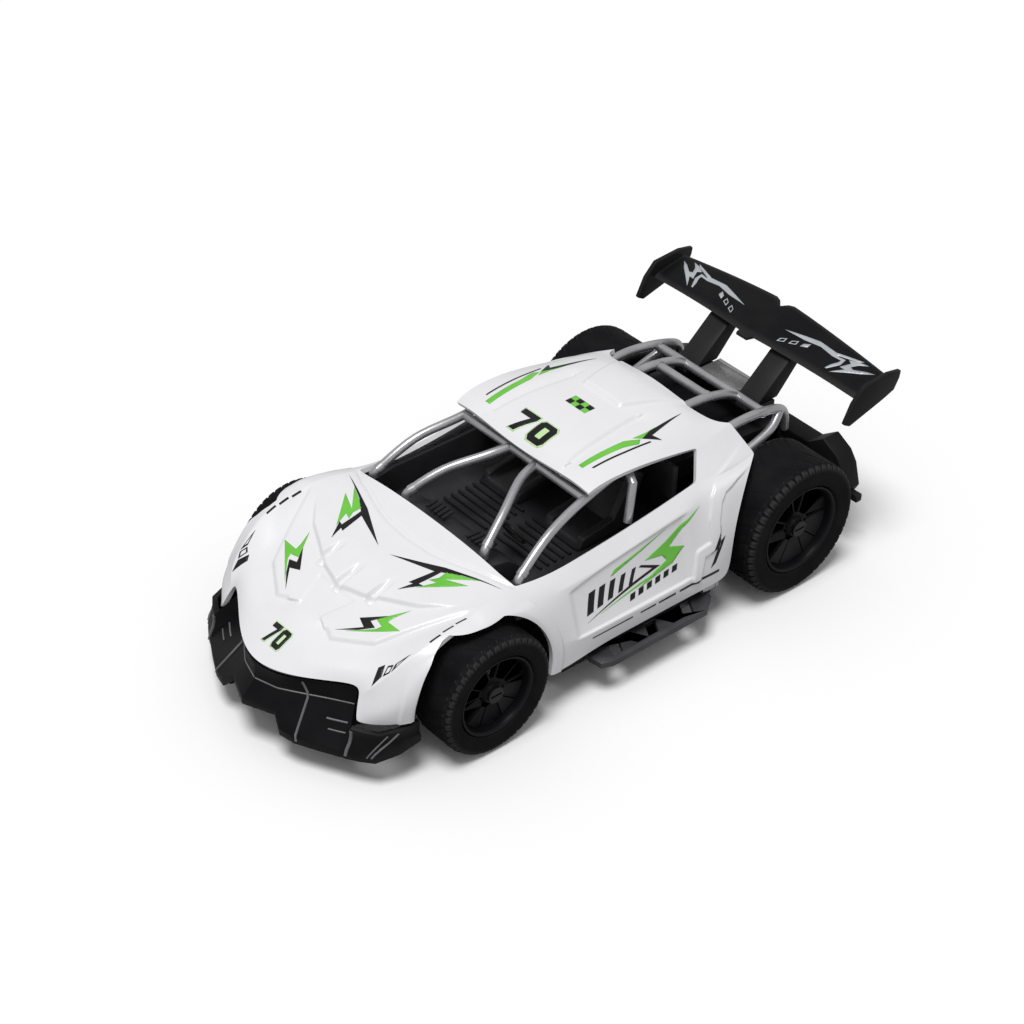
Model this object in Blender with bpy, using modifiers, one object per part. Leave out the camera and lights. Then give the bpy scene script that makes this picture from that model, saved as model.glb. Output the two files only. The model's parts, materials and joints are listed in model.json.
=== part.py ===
"""Remote control racing car, about 1:20 scale, built as separate pieces.

Lengths are written in millimetres and turned into metres by MM.
Axes: +X is the car's left side, the nose points to -Y, +Z is up, the floor is z = 0.
Stations along the car are measured from the front axle; the parent empty "car_origin"
then shifts the whole car so that it lies centred on the origin.
"""
import bpy
import bmesh
import math
from mathutils import Matrix, Vector

MM = 0.001

# ---- driving dimensions (mm) -------------------------------------------------------
WHEELBASE = 130.0
FRONT_TYRE_R, REAR_TYRE_R = 21.0, 24.1
FRONT_TYRE_W, REAR_TYRE_W = 17.0, 22.0
FRONT_BEAD_R, REAR_BEAD_R = 14.5, 16.4      # where the tyre sits on the rim
NOSE_Y = -54.5                              # lip of the bonnet
TAIL_Y = 46.0                               # wing tips behind the rear axle
BODY_HALF_W = 49.8
FRONT_FACE_X = BODY_HALF_W + 3.3            # outer faces of the tyres
REAR_FACE_X = BODY_HALF_W + 4.6
SHELL_T = 1.6
CREASE = 0.55                               # how firmly the shell's edge lines hold
SILL_Z = 16.6
ROOF_Z = 67.6
COWL_Y = 17.2                               # rear edge of the bonnet
CLEARANCE_Z = 8.0                           # underside of the chassis
FLOOR_T = 2.2
WALL_T = 1.6
ARCH_GAP = 4.6                              # tyre tread to wheel arch
REAR_ARCH_REACH = REAR_TYRE_R + 3.5         # rear axle to the shell's rear edge
BUMPER_T, BUMPER_FOOT, BUMPER_LIP = 2.0, 3.2, 2.4
WING_HALF_SPAN = 48.2
WING_T = 1.8
END_PLATE_T = 1.7
STRUT_X0, STRUT_X1 = BODY_HALF_W - 40.0, BODY_HALF_W - 30.8
CAGE_R = 1.5
RIM_INSET = 0.8                             # rim edge inside the tyre's face
RIM_DISH = 3.0                              # spoke face behind the rim edge
SPOKE_T = 2.4
SPOKES = 5

# ---- running gear (mm) -------------------------------------------------------------
GAP = 0.3                                   # between pieces that touch
RUN = 0.2                                   # radial clearance of running fits
KINGPIN_X = FRONT_FACE_X - 20.1
KINGPIN_R = 1.6
WHEEL_PIN_R = 1.5
STEER_ARM = 10.0                            # kingpin to tie rod pin
TIE_PIN_R = 1.0
REAR_AXLE_R = 1.5
WHEEL_SCREW_R = 2.9
BUSH_R = 3.0
PRESSURE_DEG = 25.0
TOOTH_PLAY = 0.16                           # tooth thinned by this on the pitch circle
AXLE_TEETH, SMALL_TEETH, FINAL_MODULE = 28, 12, 0.8
LARGE_TEETH, PINION_TEETH, MOTOR_MODULE = 32, 12, 0.6
FINAL_X = (1.5, 6.0)                        # plane of the axle gear
MOTOR_X = (7.0, 10.5)                       # plane of the motor pinion
COMPOUND_TILT_DEG = 170.0                   # direction from axle to compound gear
PINION_TILT_DEG = 192.0                     # direction from compound gear to pinion
SHAFT_R = 1.0
MOTOR_R, MOTOR_LEN = 10.0, BODY_HALF_W - 24.8
HOUSING_X = (-1.6, 13.2)
HOUSING_T = 1.4

FRONT_AXLE_Z, REAR_AXLE_Z = FRONT_TYRE_R, REAR_TYRE_R
CENTRE_SHIFT = -(WHEELBASE + TAIL_Y + NOSE_Y - 3.1) / 2.0   # bumper stands 3.1 ahead of lip
FLOOR_TOP = CLEARANCE_Z + FLOOR_T

SLOTS = {                                   # colour, roughness, metallic
    "shell_white": ((0.83, 0.83, 0.85), 0.28, 0.0),
    "black_plastic": ((0.012, 0.012, 0.014), 0.45, 0.0),
    "cage_grey": ((0.13, 0.13, 0.14), 0.32, 0.6),
    "tyre_rubber": ((0.010, 0.010, 0.011), 0.75, 0.0),
    "rim_black": ((0.008, 0.008, 0.010), 0.3, 0.0),
    "steel": ((0.45, 0.45, 0.46), 0.3, 1.0),
    "brass": ((0.55, 0.38, 0.14), 0.3, 1.0),
    "gear_nylon": ((0.72, 0.71, 0.66), 0.5, 0.0),
    "battery_wrap": ((0.02, 0.10, 0.36), 0.35, 0.0),
    "board_green": ((0.01, 0.12, 0.05), 0.4, 0.0),
}


# ---- scene and helpers --------------------------------------------------------------
def clear_scene():
    for obj in list(bpy.data.objects):
        bpy.data.objects.remove(obj, do_unlink=True)


def new_collection(name):
    collection = bpy.data.collections.new(name)
    bpy.context.scene.collection.children.link(collection)
    return collection


def make_material(name):
    colour, roughness, metallic = SLOTS[name]
    material = bpy.data.materials.new(name)
    material.use_nodes = True
    shader = material.node_tree.nodes["Principled BSDF"]
    shader.inputs["Base Color"].default_value = (*colour, 1.0)
    shader.inputs["Roughness"].default_value = roughness
    shader.inputs["Metallic"].default_value = metallic
    return material


def link(name, mesh, collection=None):
    obj = bpy.data.objects.new(name, mesh)
    (collection or CAR).objects.link(obj)
    return obj


def baked(obj):
    """The evaluated mesh of obj; obj itself is removed."""
    graph = bpy.context.evaluated_depsgraph_get()
    mesh = bpy.data.meshes.new_from_object(obj.evaluated_get(graph))
    mesh.transform(obj.matrix_world)
    bpy.data.objects.remove(obj, do_unlink=True)
    return mesh


def tidy(mesh):
    """Weld coincident points and turn every face outwards."""
    bm = bmesh.new()
    bm.from_mesh(mesh)
    bmesh.ops.remove_doubles(bm, verts=bm.verts, dist=1e-6)
    bmesh.ops.recalc_face_normals(bm, faces=bm.faces)
    bm.to_mesh(mesh)
    bm.free()
    return mesh


def box(x0, x1, y0, y1, z0, z1):
    bm = bmesh.new()
    bmesh.ops.create_cube(bm, size=1.0)
    size = Vector((x1 - x0, y1 - y0, z1 - z0)) * MM
    centre = Vector((x0 + x1, y0 + y1, z0 + z1)) * (MM / 2)
    bmesh.ops.scale(bm, vec=size, verts=bm.verts)
    bmesh.ops.translate(bm, vec=centre, verts=bm.verts)
    mesh = bpy.data.meshes.new("box")
    bm.to_mesh(mesh)
    bm.free()
    return mesh


AXIS_TURN = {"X": Matrix.Rotation(math.pi / 2, 4, "Y"),
             "Y": Matrix.Rotation(-math.pi / 2, 4, "X"), "Z": Matrix.Identity(4)}


def rod(axis, a0, a1, centre, r, sides=16, r_end=None):
    """A cylinder or cone from a0 to a1 along axis; centre is its other two coordinates."""
    bm = bmesh.new()
    r_end = r if r_end is None else r_end
    bmesh.ops.create_cone(bm, cap_ends=True, segments=sides, radius1=r * MM,
                          radius2=r_end * MM, depth=(a1 - a0) * MM)
    bm.transform(AXIS_TURN[axis])
    place = list(centre)
    place.insert("XYZ".index(axis), (a0 + a1) / 2)
    bmesh.ops.translate(bm, vec=Vector(place) * MM, verts=bm.verts)
    mesh = bpy.data.meshes.new("rod")
    bm.to_mesh(mesh)
    bm.free()
    return mesh


PLANES = {"XY": Matrix.Identity(4),
          "XZ": Matrix(((1, 0, 0, 0), (0, 0, -1, 0), (0, 1, 0, 0), (0, 0, 0, 1))),
          "YZ": Matrix(((0, 0, 1, 0), (1, 0, 0, 0), (0, 1, 0, 0), (0, 0, 0, 1)))}


def plate(plane, outline, low, high):
    """A flat outline, given in the named plane, with thickness from low to high."""
    curve = bpy.data.curves.new("outline", "CURVE")
    curve.dimensions = "2D"
    curve.fill_mode = "BOTH"
    curve.extrude = (high - low) / 2 * MM
    spline = curve.splines.new("POLY")
    spline.points.add(len(outline) - 1)
    for point, (u, v) in zip(spline.points, outline):
        point.co = (u * MM, v * MM, 0.0, 1.0)
    spline.use_cyclic_u = True
    obj = link("outline", curve)
    middle = (low + high) / 2 * MM * (-1 if plane == "XZ" else 1)
    mesh = baked(obj)
    mesh.transform(PLANES[plane] @ Matrix.Translation((0, 0, middle)))
    return tidy(mesh)


def tube(points, radius=CAGE_R, sides=8):
    curve = bpy.data.curves.new("tube", "CURVE")
    curve.dimensions = "3D"
    curve.bevel_depth = radius * MM
    curve.bevel_resolution = sides // 2 - 2
    curve.use_fill_caps = True
    spline = curve.splines.new("POLY")
    spline.points.add(len(points) - 1)
    for point, co in zip(spline.points, points):
        point.co = (co[0] * MM, co[1] * MM, co[2] * MM, 1.0)
    return tidy(baked(link("tube", curve)))


def turned(profile, axis_x, centre_y, centre_z, sides):
    """A closed (offset along X, radius) profile turned about a line parallel to X."""
    bm = bmesh.new()
    verts = [bm.verts.new((radius * MM, 0, offset * MM)) for offset, radius in profile]
    for a, b in zip(verts, verts[1:] + verts[:1]):
        bm.edges.new((a, b))
    mesh = bpy.data.meshes.new("profile")
    bm.to_mesh(mesh)
    bm.free()
    obj = link("profile", mesh)
    screw = obj.modifiers.new("Screw", "SCREW")
    screw.axis = "Z"
    screw.steps = screw.render_steps = sides
    screw.use_merge_vertices = True
    screw.merge_threshold = 1e-6
    mesh = baked(obj)
    mesh.transform(Matrix.Translation(Vector((axis_x, centre_y, centre_z)) * MM)
                   @ AXIS_TURN["X"])
    return tidy(mesh)


def joined(meshes):
    """Several closed meshes kept as one mesh, for use as one cutter."""
    bm = bmesh.new()
    for mesh in meshes:
        bm.from_mesh(mesh)
    mesh = bpy.data.meshes.new("joined")
    bm.to_mesh(mesh)
    bm.free()
    return mesh


def combine(base, add=(), cut=()):
    """Boolean union of base with each of add, less each of cut."""
    for operation, others in (("UNION", add), ("DIFFERENCE", cut)):
        for other in others:
            obj, tool = link("base", base), link("tool", other, CUTTERS)
            boolean = obj.modifiers.new("Boolean", "BOOLEAN")
            boolean.operation = operation
            boolean.solver = "EXACT"
            boolean.object = tool
            base = baked(obj)
            bpy.data.objects.remove(tool, do_unlink=True)
    return tidy(base)


def mirrored(mesh):
    """The same piece on the car's right side."""
    copy = mesh.copy()
    copy.transform(Matrix.Scale(-1, 4, (1, 0, 0)))
    copy.flip_normals()
    return copy


def part(name, mesh, slot, origin=(0, 0, 0), smooth=False):
    """A named piece whose own origin lies at origin, hung on the car's empty."""
    origin = Vector(origin) * MM
    mesh = mesh.copy()
    mesh.name = name
    mesh.transform(Matrix.Translation(-origin))
    mesh.materials.clear()
    mesh.materials.append(MATERIALS[slot])
    obj = link(name, mesh)
    obj.location = origin
    obj.parent = ORIGIN
    if smooth:
        mesh.shade_smooth()
        mesh.set_sharp_from_angle(angle=math.radians(35))
    return obj


# ---- body shell -----------------------------------------------------------------------
def door_y(share):
    """A point along the door opening, 0 at the cowl and 1 ahead of the rear wheel arch."""
    return COWL_Y + share * (WHEELBASE - 33.0 - COWL_Y)


def bonnet_rows():
    """Cage rows of the bonnet, centre line out to the sill, nose to cowl."""
    w, nose = BODY_HALF_W, NOSE_Y
    return [
        [(0, nose, 28.5), (11.8, nose + 3.9, 28.9), (22.3, nose + 11, 30),
         (w - 18.8, nose + 16.7, 31.5), (w - 17.6, nose + 15.5, 28.5), (w - 16.8, nose + 14.3, 26),
         (w - 16.2, nose + 13.5, 23.8), (w - 15.6, nose + 12.9, 22), (w - 15, nose + 12.9, 20.8)],
        [(0, nose + 10.5, 34.5), (12, nose + 11.5, 34.6), (23, nose + 14.5, 34.6),
         (32.5, nose + 20, 34.5), (36.3, nose + 17.8, 33), (w - 11.6, nose + 17.6, 29.8),
         (w - 8.6, nose + 17.2, 26), (w - 8.5, nose + 17.5, 23), (w - 8.8, nose + 17.8, 21)],
        [(0, nose + 21.5, 38.2), (12.5, nose + 22, 37.9), (23.5, nose + 23.5, 37.2),
         (33.5, nose + 26, 38), (w - 11.2, nose + 25, 38.5), (w - 7.6, nose + 25, 35.2),
         (w - 4.5, nose + 25, 30.5), (w - 4.5, nose + 25, 25.5), (w - 5, nose + 25, 21)],
        [(0, -20, 41.8), (12.5, -20, 41.6), (24, -20, 41), (34, -20, 42.2),
         (w - 8.8, -20, 43.5), (w - 4.3, -20, 41.5), (w - 2.3, -20, 37), (w - 2.3, -20, 29),
         (w - 2.8, -20, 21)],
        [(0, -8, 45.2), (12.5, -8, 44.9), (24, -8, 44.4), (34, -8, 45.2),
         (w - 8.3, -8, 47.2), (w - 3.8, -8, 46.2), (w - 1, -8, 43.5), (w - 0.5, -8, 33),
         (w - 0.5, -8, 20)],
        [(0, 4, 47.2), (12.5, 4, 47), (24, 4, 46.6), (33.5, 4, 47), (w - 8.8, 4, 47.9),
         (w - 4, 4, 47), (w - 0.8, 4, 44.2), (w - 0.2, 4, 33), (w - 0.2, 4, 19)],
        [(0, COWL_Y, 49), (12.5, COWL_Y, 48.8), (24, COWL_Y - 0.2, 48.3),
         (32.5, COWL_Y - 0.6, 47.6), (w - 11.5, COWL_Y + 0.8, 46.2), (w - 6.3, COWL_Y, 44.4),
         (w - 1.8, COWL_Y, 40.5), (w, COWL_Y, 31), (w, COWL_Y, 17)],
    ]


def flank_rows():
    """Cage rows of the door and rear quarter, belt line down to the sill."""
    w, sill = BODY_HALF_W, SILL_Z
    arch = WHEELBASE - REAR_ARCH_REACH
    return [
        [(w - 10.6, door_y(0.16), 44.8), (w - 5.6, door_y(0.15), 41.2),
         (w - 2.6, door_y(0.15), 33), (w - 0.1, door_y(0.15), 24),
         (w - 0.2, door_y(0.13), sill - 2.6)],
        [(w - 10.8, door_y(0.37), 45.8), (w - 6.3, door_y(0.35), 40.6),
         (w - 3.7, door_y(0.33), 31.6), (w + 0.2, door_y(0.33), 23.6),
         (w - 0.2, door_y(0.33), sill)],
        [(w - 10.6, door_y(0.54), 47.3), (w - 6.3, door_y(0.52), 42.6),
         (w - 3.5, door_y(0.51), 31.6), (w + 0.2, door_y(0.51), 23.3),
         (w - 0.2, door_y(0.51), sill)],
        [(w - 10.4, door_y(0.74), 49.6), (w - 6.3, door_y(0.72), 45),
         (w - 3.4, door_y(0.69), 31.8), (w + 0.2, door_y(0.69), 23.1),
         (w - 0.2, door_y(0.69), sill)],
        [(w - 10.3, arch - 9.9, 52.5), (w - 6, arch - 10.9, 48.2),
         (w - 3.2, door_y(0.87), 32.4), (w + 0.2, door_y(0.87), 23),
         (w - 0.2, door_y(0.87), sill)],
        [(w - 9.2, arch - 1.4, 51.8), (w - 4.6, arch - 5.9, 49.8), (w - 0.9, arch - 9.4, 35),
         (w + 0.4, arch - 9.4, 23.2), (w, arch - 9.4, sill)],
        [(w - 9.6, arch + 6.1, 51.2), (w - 3.8, arch - 1.4, 49.2), (w - 0.3, arch - 5.4, 36.5),
         (w + 0.3, arch - 4.9, 24), (w, arch - 5.4, sill + 0.2)],
        [(w - 12, arch + 18.2, 50.4), (w - 6, arch + 9.6, 48.9), (w - 0.4, arch, 38.4),
         (w, arch - 1, 26), (w - 0.2, arch - 1.4, sill + 1)],
    ]


def roof_rows():
    """Cage rows of the roof, centre line out to the side windows, front to rear."""
    w, roof = BODY_HALF_W, ROOF_Z
    front, arch = COWL_Y + 34.4, WHEELBASE - REAR_ARCH_REACH
    return [
        [(0, front, roof - 5.9), (12.5, front + 0.2, roof - 5.3),
         (w - 25.8, front + 0.7, roof - 4.7), (w - 18, front + 1.2, roof - 6)],
        [(0, front + 6.5, roof - 1.4), (13, front + 6.5, roof - 1.6),
         (w - 24.3, front + 6.5, roof - 2.6), (w - 17.4, front + 6.2, roof - 3.6)],
        [(0, front + 23, roof + 0.3), (14, front + 23, roof + 0.1),
         (w - 23.8, front + 23, roof - 1.6), (w - 16.8, front + 23, roof - 3.5)],
        [(0, arch - 3.4, roof - 0.8), (14.5, arch - 3.4, roof - 1.3),
         (w - 23.8, arch - 3.4, roof - 3.8), (w - 17.4, arch - 3.4, roof - 8.6)],
        [(0, arch + 2.1, roof - 2), (14.5, arch + 2.6, roof - 2.6),
         (w - 24, arch + 4.6, roof - 6), (w - 19, arch + 6.1, roof - 9)],
        [(0, arch + 7.1, roof - 3.5), (14, arch + 6.2, roof - 4.4),
         (w - 24.4, arch + 10.1, roof - 8.2), (w - 22.2, arch + 16.4, roof - 10)],
    ]


def shell_cage():
    """Half the shell as an open sheet: bonnet, flank, rear pillar and roof."""
    bonnet, flank, top = bonnet_rows(), flank_rows(), roof_rows()
    bm = bmesh.new()

    def add_row(row):
        return [bm.verts.new(Vector(p) * MM) for p in row]

    def skin(rows):
        for a, b in zip(rows, rows[1:]):
            for i in range(len(a) - 1):
                bm.faces.new((a[i], a[i + 1], b[i + 1], b[i]))

    rows = [add_row(row) for row in bonnet]
    skin(rows)
    sides = [rows[-1][4:]] + [add_row(row) for row in flank]
    skin(sides)
    roof = [add_row(row) for row in top]
    skin(roof)
    # rear pillar: from the roof's edge out to the belt line
    bm.faces.new((roof[3][3], sides[5][0], sides[6][0]))
    bm.faces.new((roof[3][3], sides[6][0], sides[7][0], roof[4][3]))
    bm.faces.new((roof[4][3], sides[7][0], sides[8][0], roof[5][3]))
    crease = bm.edges.layers.float.new("crease_edge")
    creased = [(row[4], rows[i + 1][4]) for i, row in enumerate(rows[:-1])]
    creased += [(a[0], b[0]) for a, b in zip(sides, sides[1:])]
    creased += [(a[3], b[3]) for a, b in zip(roof, roof[1:])]
    creased += [(rows[0][i], rows[0][i + 1]) for i in (2, 3)]
    creased += [(roof[0][2], roof[0][3]), (sides[8][0], roof[5][3])]
    door = list(zip(sides[1:5], sides[2:6]))    # the sunk panel between belt line and sill
    creased += [(a[i], b[i]) for i in (1, 3) for a, b in door]
    for a, b in creased:
        bm.edges.get((a, b))[crease] = CREASE
    bmesh.ops.recalc_face_normals(bm, faces=bm.faces)
    mesh = bpy.data.meshes.new("shell_cage")
    bm.to_mesh(mesh)
    bm.free()
    return mesh


def wheel_arch(name, y, z, radius):
    """Cutter for both flanks, wider ahead of the wheel for the steering swing."""
    outline = []
    for i in range(25):
        angle = math.radians(-20 + i * 220 / 24)
        reach = radius + (1.6 if math.cos(angle) < 0 else 0) * abs(math.sin(2 * angle))
        height = z + min(reach * math.sin(angle), radius - 1.4)
        outline.append((y - 1.2 + reach * math.cos(angle), height))
    flank = plate("YZ", outline, BODY_HALF_W - 7, 80)
    obj = link(name, joined([flank, mirrored(flank)]), CUTTERS)
    obj.hide_render = True
    obj.display_type = "WIRE"
    obj.parent = ORIGIN
    return obj


def make_shell():
    shell = part("body_shell", shell_cage(), "shell_white")
    mirror = shell.modifiers.new("Mirror", "MIRROR")
    mirror.use_clip = True
    mirror.merge_threshold = 1e-5
    smooth = shell.modifiers.new("Subdivision", "SUBSURF")
    smooth.levels = smooth.render_levels = 1
    wall = shell.modifiers.new("Solidify", "SOLIDIFY")
    wall.thickness = SHELL_T * MM
    wall.offset = -1.0
    wall.use_even_offset = False
    arch = shell.modifiers.new("Front arches", "BOOLEAN")
    arch.solver = "EXACT"
    arch.object = wheel_arch("front_arch_cutter", 0.0, FRONT_AXLE_Z, FRONT_TYRE_R + ARCH_GAP)
    shell.data.shade_smooth()
    shell.data.set_sharp_from_angle(angle=math.radians(35))


# ---- chassis and bumpers ----------------------------------------------------------------
def chassis_outline(inset):
    """Plan of the tub: narrow between each pair of wheels, wide under the doors."""
    front_gap = FRONT_TYRE_R + 6.5
    rear_gap = REAR_TYRE_R + 3.4
    narrow = KINGPIN_X - 8.0
    rear_w = REAR_FACE_X - REAR_TYRE_W - 1.9
    wide = BODY_HALF_W - 5.0
    half = [(narrow - 4 - inset, -38 + inset), (narrow - inset, -30 + inset),
            (narrow - inset, front_gap + inset), (wide - inset, front_gap + 6 + inset),
            (wide - inset, WHEELBASE - rear_gap - 4 - inset),
            (rear_w - inset, WHEELBASE - rear_gap - inset),
            (rear_w - inset, WHEELBASE + 20 - inset)]
    return half + [(-x, y) for x, y in reversed(half)]


BATTERY_Y = (40.0, WHEELBASE - 42.0)
BATTERY_HALF_W = 15.0
DOOR_T = 1.8
SWITCH_XY = (-29.0, 52.0)
SWITCH_TRAVEL = 3.5
TRIM_Y = -14.0
TRIM_R = 4.2
SCREW_XY = [(BODY_HALF_W - 9.5, 42.0), (BODY_HALF_W - 9.5, WHEELBASE - 40.0)]
SCREW_R, SCREW_HEAD_R = 1.2, 2.5


def make_chassis():
    top = 22.0
    tub = combine(plate("XY", chassis_outline(0), CLEARANCE_Z, top),
                  cut=[plate("XY", chassis_outline(WALL_T), FLOOR_TOP, top + 5)])
    axle = (WHEELBASE, REAR_AXLE_Z)
    cheek_x = REAR_FACE_X - REAR_TYRE_W - 1.9
    add, cut = [], []
    for side in (-1, 1):
        near, far = sorted((side * (cheek_x - WALL_T - 1.4), side * cheek_x))
        add.append(box(near, far, WHEELBASE - 10, WHEELBASE + 10, FLOOR_TOP - 1,
                       REAR_AXLE_Z + 5.5))
        add.append(rod("Z", FLOOR_TOP - 1, 27.7, (side * 20, 0), 2.6, 12))
        outer = side * (KINGPIN_X + 3.2)
        x0, x1 = sorted((side * 20, outer))
        add.append(box(x0, x1, -4.5, 4.5, FLOOR_TOP - 1, 13.6))
        cut.append(rod("Z", 5, 16, (side * KINGPIN_X, 0), KINGPIN_R + RUN, 16))
        for x, y in SCREW_XY:
            cut.append(rod("Z", 5, 12, (side * x, y), SCREW_R + GAP, 10))
            cut.append(rod("Z", 5, CLEARANCE_Z + 1.2, (side * x, y), SCREW_HEAD_R + GAP, 14))
    cut.append(rod("X", -40, 40, axle, BUSH_R + 0.15, 20))
    cut.append(box(-BATTERY_HALF_W - 3, BATTERY_HALF_W + 3, BATTERY_Y[0] - 2.5,
                   BATTERY_Y[1] + 2.5, 5, FLOOR_TOP + 1))
    sx, sy = SWITCH_XY
    cut.append(box(sx - 2.2, sx + 2.2, sy - 2.8, sy + SWITCH_TRAVEL + 2.8, 5, FLOOR_TOP + 1))
    cut.append(rod("Z", 5, 12, (0, TRIM_Y), TRIM_R + GAP, 16))
    part("chassis_tub", combine(tub, add, cut), "black_plastic")


def bumper_stations():
    """Foot, crease and head of the front bumper's face, centre line to wheel arch."""
    tip = NOSE_Y - 3.1
    w = BODY_HALF_W
    sloped = [((0, tip, 14), (0, tip + 5), 26.8), ((10.5, tip + 4.4, 14.2), (8, tip + 7.4), 26.9),
              ((14.5, tip + 3.2, 9.6), (12, tip + 10), 27.3),
              ((20, tip + 4.6, 9.2), (16, tip + 12.8), 27.7),
              ((w - 21.8, tip + 8.8, 9), (w - 27.8, tip + 17), 28.1),
              ((w - 16.2, tip + 12, 9), (w - 20.4, tip + 21.8), 28.9)]
    upright = [((w - 14.8, tip + 12.6, 9), (w - 15.2, tip + 14.6)),
               ((w - 11.2, tip + 14.7, 9.2), (w - 11.6, tip + 16.4)),
               ((w - 7, tip + 17.8, 9.5), (w - 7.4, tip + 19.4)),
               ((w - 4.3, tip + 25, 11), (w - 5, tip + 25.8)),
               ((w - 4, tip + 33, 12.5), (w - 4.8, tip + 33))]
    bend, eave = 21.8, 19.6
    faces = [(foot, (*crease, bend), (*crease, top)) for foot, crease, top in sloped]
    faces += [(foot, (*head, eave - 4), (*head, eave)) for foot, head in upright]
    return faces


def bumper_half():
    """Closed strip lofted through the stations, one profile for each of them."""
    stations = bumper_stations()
    bm = bmesh.new()
    rings = []
    for i, (foot, crease, head) in enumerate(stations):
        before, after = stations[max(i - 1, 0)][0], stations[min(i + 1, len(stations) - 1)][0]
        ahead = Vector(after[:2]) - Vector(before[:2])
        inward = Vector((-ahead.y, ahead.x, 0)).normalized() if i else Vector((0, 1, 0))
        foot, crease, head = Vector(foot), Vector(crease), Vector(head)
        ring = [head, crease, foot + Vector((0, 0, BUMPER_LIP)), foot, foot + inward * BUMPER_FOOT,
                crease + inward * BUMPER_T, head + inward * BUMPER_T]
        rings.append([bm.verts.new(Vector((max(p.x, 0) if i else 0, p.y, p.z)) * MM) for p in ring])
    count = len(rings[0])
    for a, b in zip(rings, rings[1:]):
        for k in range(count):
            n = (k + 1) % count
            bm.faces.new((a[k], a[n], b[n], b[k]))
    bm.faces.new(rings[-1])
    mesh = bpy.data.meshes.new("bumper_half")
    bm.to_mesh(mesh)
    bm.free()
    return mesh


def make_front_bumper():
    obj = link("half", bumper_half())
    mirror = obj.modifiers.new("Mirror", "MIRROR")
    mirror.merge_threshold = 1e-5
    band = tidy(baked(obj))
    front, notch = NOSE_Y + 2.4, NOSE_Y + 8.5
    tongue = plate("XY", [(-19, front), (-14, front), (-12.5, notch), (12.5, notch), (14, front),
                          (19, front), (19, -38 - GAP), (-19, -38 - GAP)], 9.4, 11.2)
    part("front_bumper", combine(band, [tongue]), "black_plastic")


def make_rear_bumper():
    face = WHEELBASE + REAR_TYRE_R + 4.2
    depth = 7.6
    w = BODY_HALF_W
    wing = [(w - 25.8, 12), (w - 5.8, 17.5), (w - 3.3, 22.5), (w - 5.8, 30.5), (w - 8.8, 34.4),
            (w - 15.3, 37.8), (w - 21.8, 33)]
    bar = wing + [(-x, z) for x, z in reversed(wing)]
    body = plate("XZ", bar, face, face + depth)
    inner = w - 21.8
    middle = box(-inner, inner, WHEELBASE + 20 + GAP, face + 1, 12, 29)
    fin_x = w - 2.2
    fins = [box(s * fin_x - 2.6, s * fin_x + 2.6, face + 2.5, face + 5.2, 18.8, 21.6)
            for s in (-1, 1)]
    part("rear_bumper", combine(body, [middle] + fins), "black_plastic")


def make_side_steps():
    """Running board with slanted openings, hung on the chassis side."""
    y0, y1 = COWL_Y + 24.8, WHEELBASE - 37.0
    x0, x1 = BODY_HALF_W - 4.7, BODY_HALF_W + 5.1
    outline = [(x0, y0 - 1), (x1 - 1.5, y0), (x1, y0 + 4), (x1, y1 - 6), (x1 - 4.5, y1),
               (x0, y1 + 1)]
    span = y1 - y0 - 12
    count = int(span / 7.5)
    pitch = span / count
    long = pitch * 0.55
    holes = []
    for i in range(count):
        y = y0 + 7 + i * pitch
        lean = 1.5 if i % 2 else -1.5
        holes.append(plate("XY", [(x0 + 2.4, y - lean), (x1 - 2.2, y + lean),
                                  (x1 - 2.2, y + lean + long), (x0 + 2.4, y - lean + long)], 5, 20))
    board = combine(plate("XY", outline, CLEARANCE_Z + 2.6, CLEARANCE_Z + 4.8), cut=[joined(holes)])
    part("side_step_left", board, "cage_grey")
    part("side_step_right", mirrored(board), "cage_grey")


# ---- wing -------------------------------------------------------------------------------
def wing_section(share):
    """Leading and trailing edge (y, z) at a share of the half span."""
    lead = Vector((WHEELBASE + 22.5 + 3.5 * share, 64.4 - 2.6 * share ** 2))
    trail = Vector((WHEELBASE + 41.6 - 1.2 * share, 69.6 - 4.4 * share ** 1.5))
    return lead, trail


def make_wing():
    bm = bmesh.new()
    rings = []
    for share in (0.0, 0.15, 0.4, 0.7, 1.0):
        lead, trail = wing_section(share)
        chord = trail - lead
        up = Vector((-chord.y, chord.x)).normalized() * WING_T
        spots = [lead - up * 0.25, lead + up * 0.3, lead + chord * 0.3 + up * 0.55,
                 trail + up * 0.5, trail - up * 0.1, lead + chord * 0.35 - up * 0.45]
        x = WING_HALF_SPAN * share
        rings.append([bm.verts.new((x * MM, s.x * MM, s.y * MM)) for s in spots])
    for a, b in zip(rings, rings[1:]):
        for k in range(6):
            n = (k + 1) % 6
            bm.faces.new((a[k], a[n], b[n], b[k]))
    bm.faces.new(rings[-1])
    mesh = bpy.data.meshes.new("wing_half")
    bm.to_mesh(mesh)
    bm.free()
    obj = link("half", mesh)
    mirror = obj.modifiers.new("Mirror", "MIRROR")
    mirror.merge_threshold = 1e-5
    blade = tidy(baked(obj))
    rear = wing_section(0)[1].x
    notch = plate("XY", [(-2.6, rear + 3), (-2.6, rear - 1.4), (0, rear - 3), (2.6, rear - 1.4),
                         (2.6, rear + 3)], 50, 80)
    part("rear_wing", combine(blade, cut=[notch]), "black_plastic")
    a = WHEELBASE
    outline = [(a + 27, 67.4), (a + 38.5, 68.2), (a + 44.8, 67), (a + 44.4, 64.2), (a + 42.4, 60.2),
               (a + 37, 58.3), (a + 22, 54.1), (a + 19.3, 55.6), (a + 22.5, 62.6)]
    end = plate("YZ", outline, WING_HALF_SPAN + GAP, WING_HALF_SPAN + GAP + END_PLATE_T)
    part("wing_end_plate_left", end, "black_plastic")
    part("wing_end_plate_right", mirrored(end), "black_plastic")


DECK_Z = 49.6                                # top of the strut seats


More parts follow.
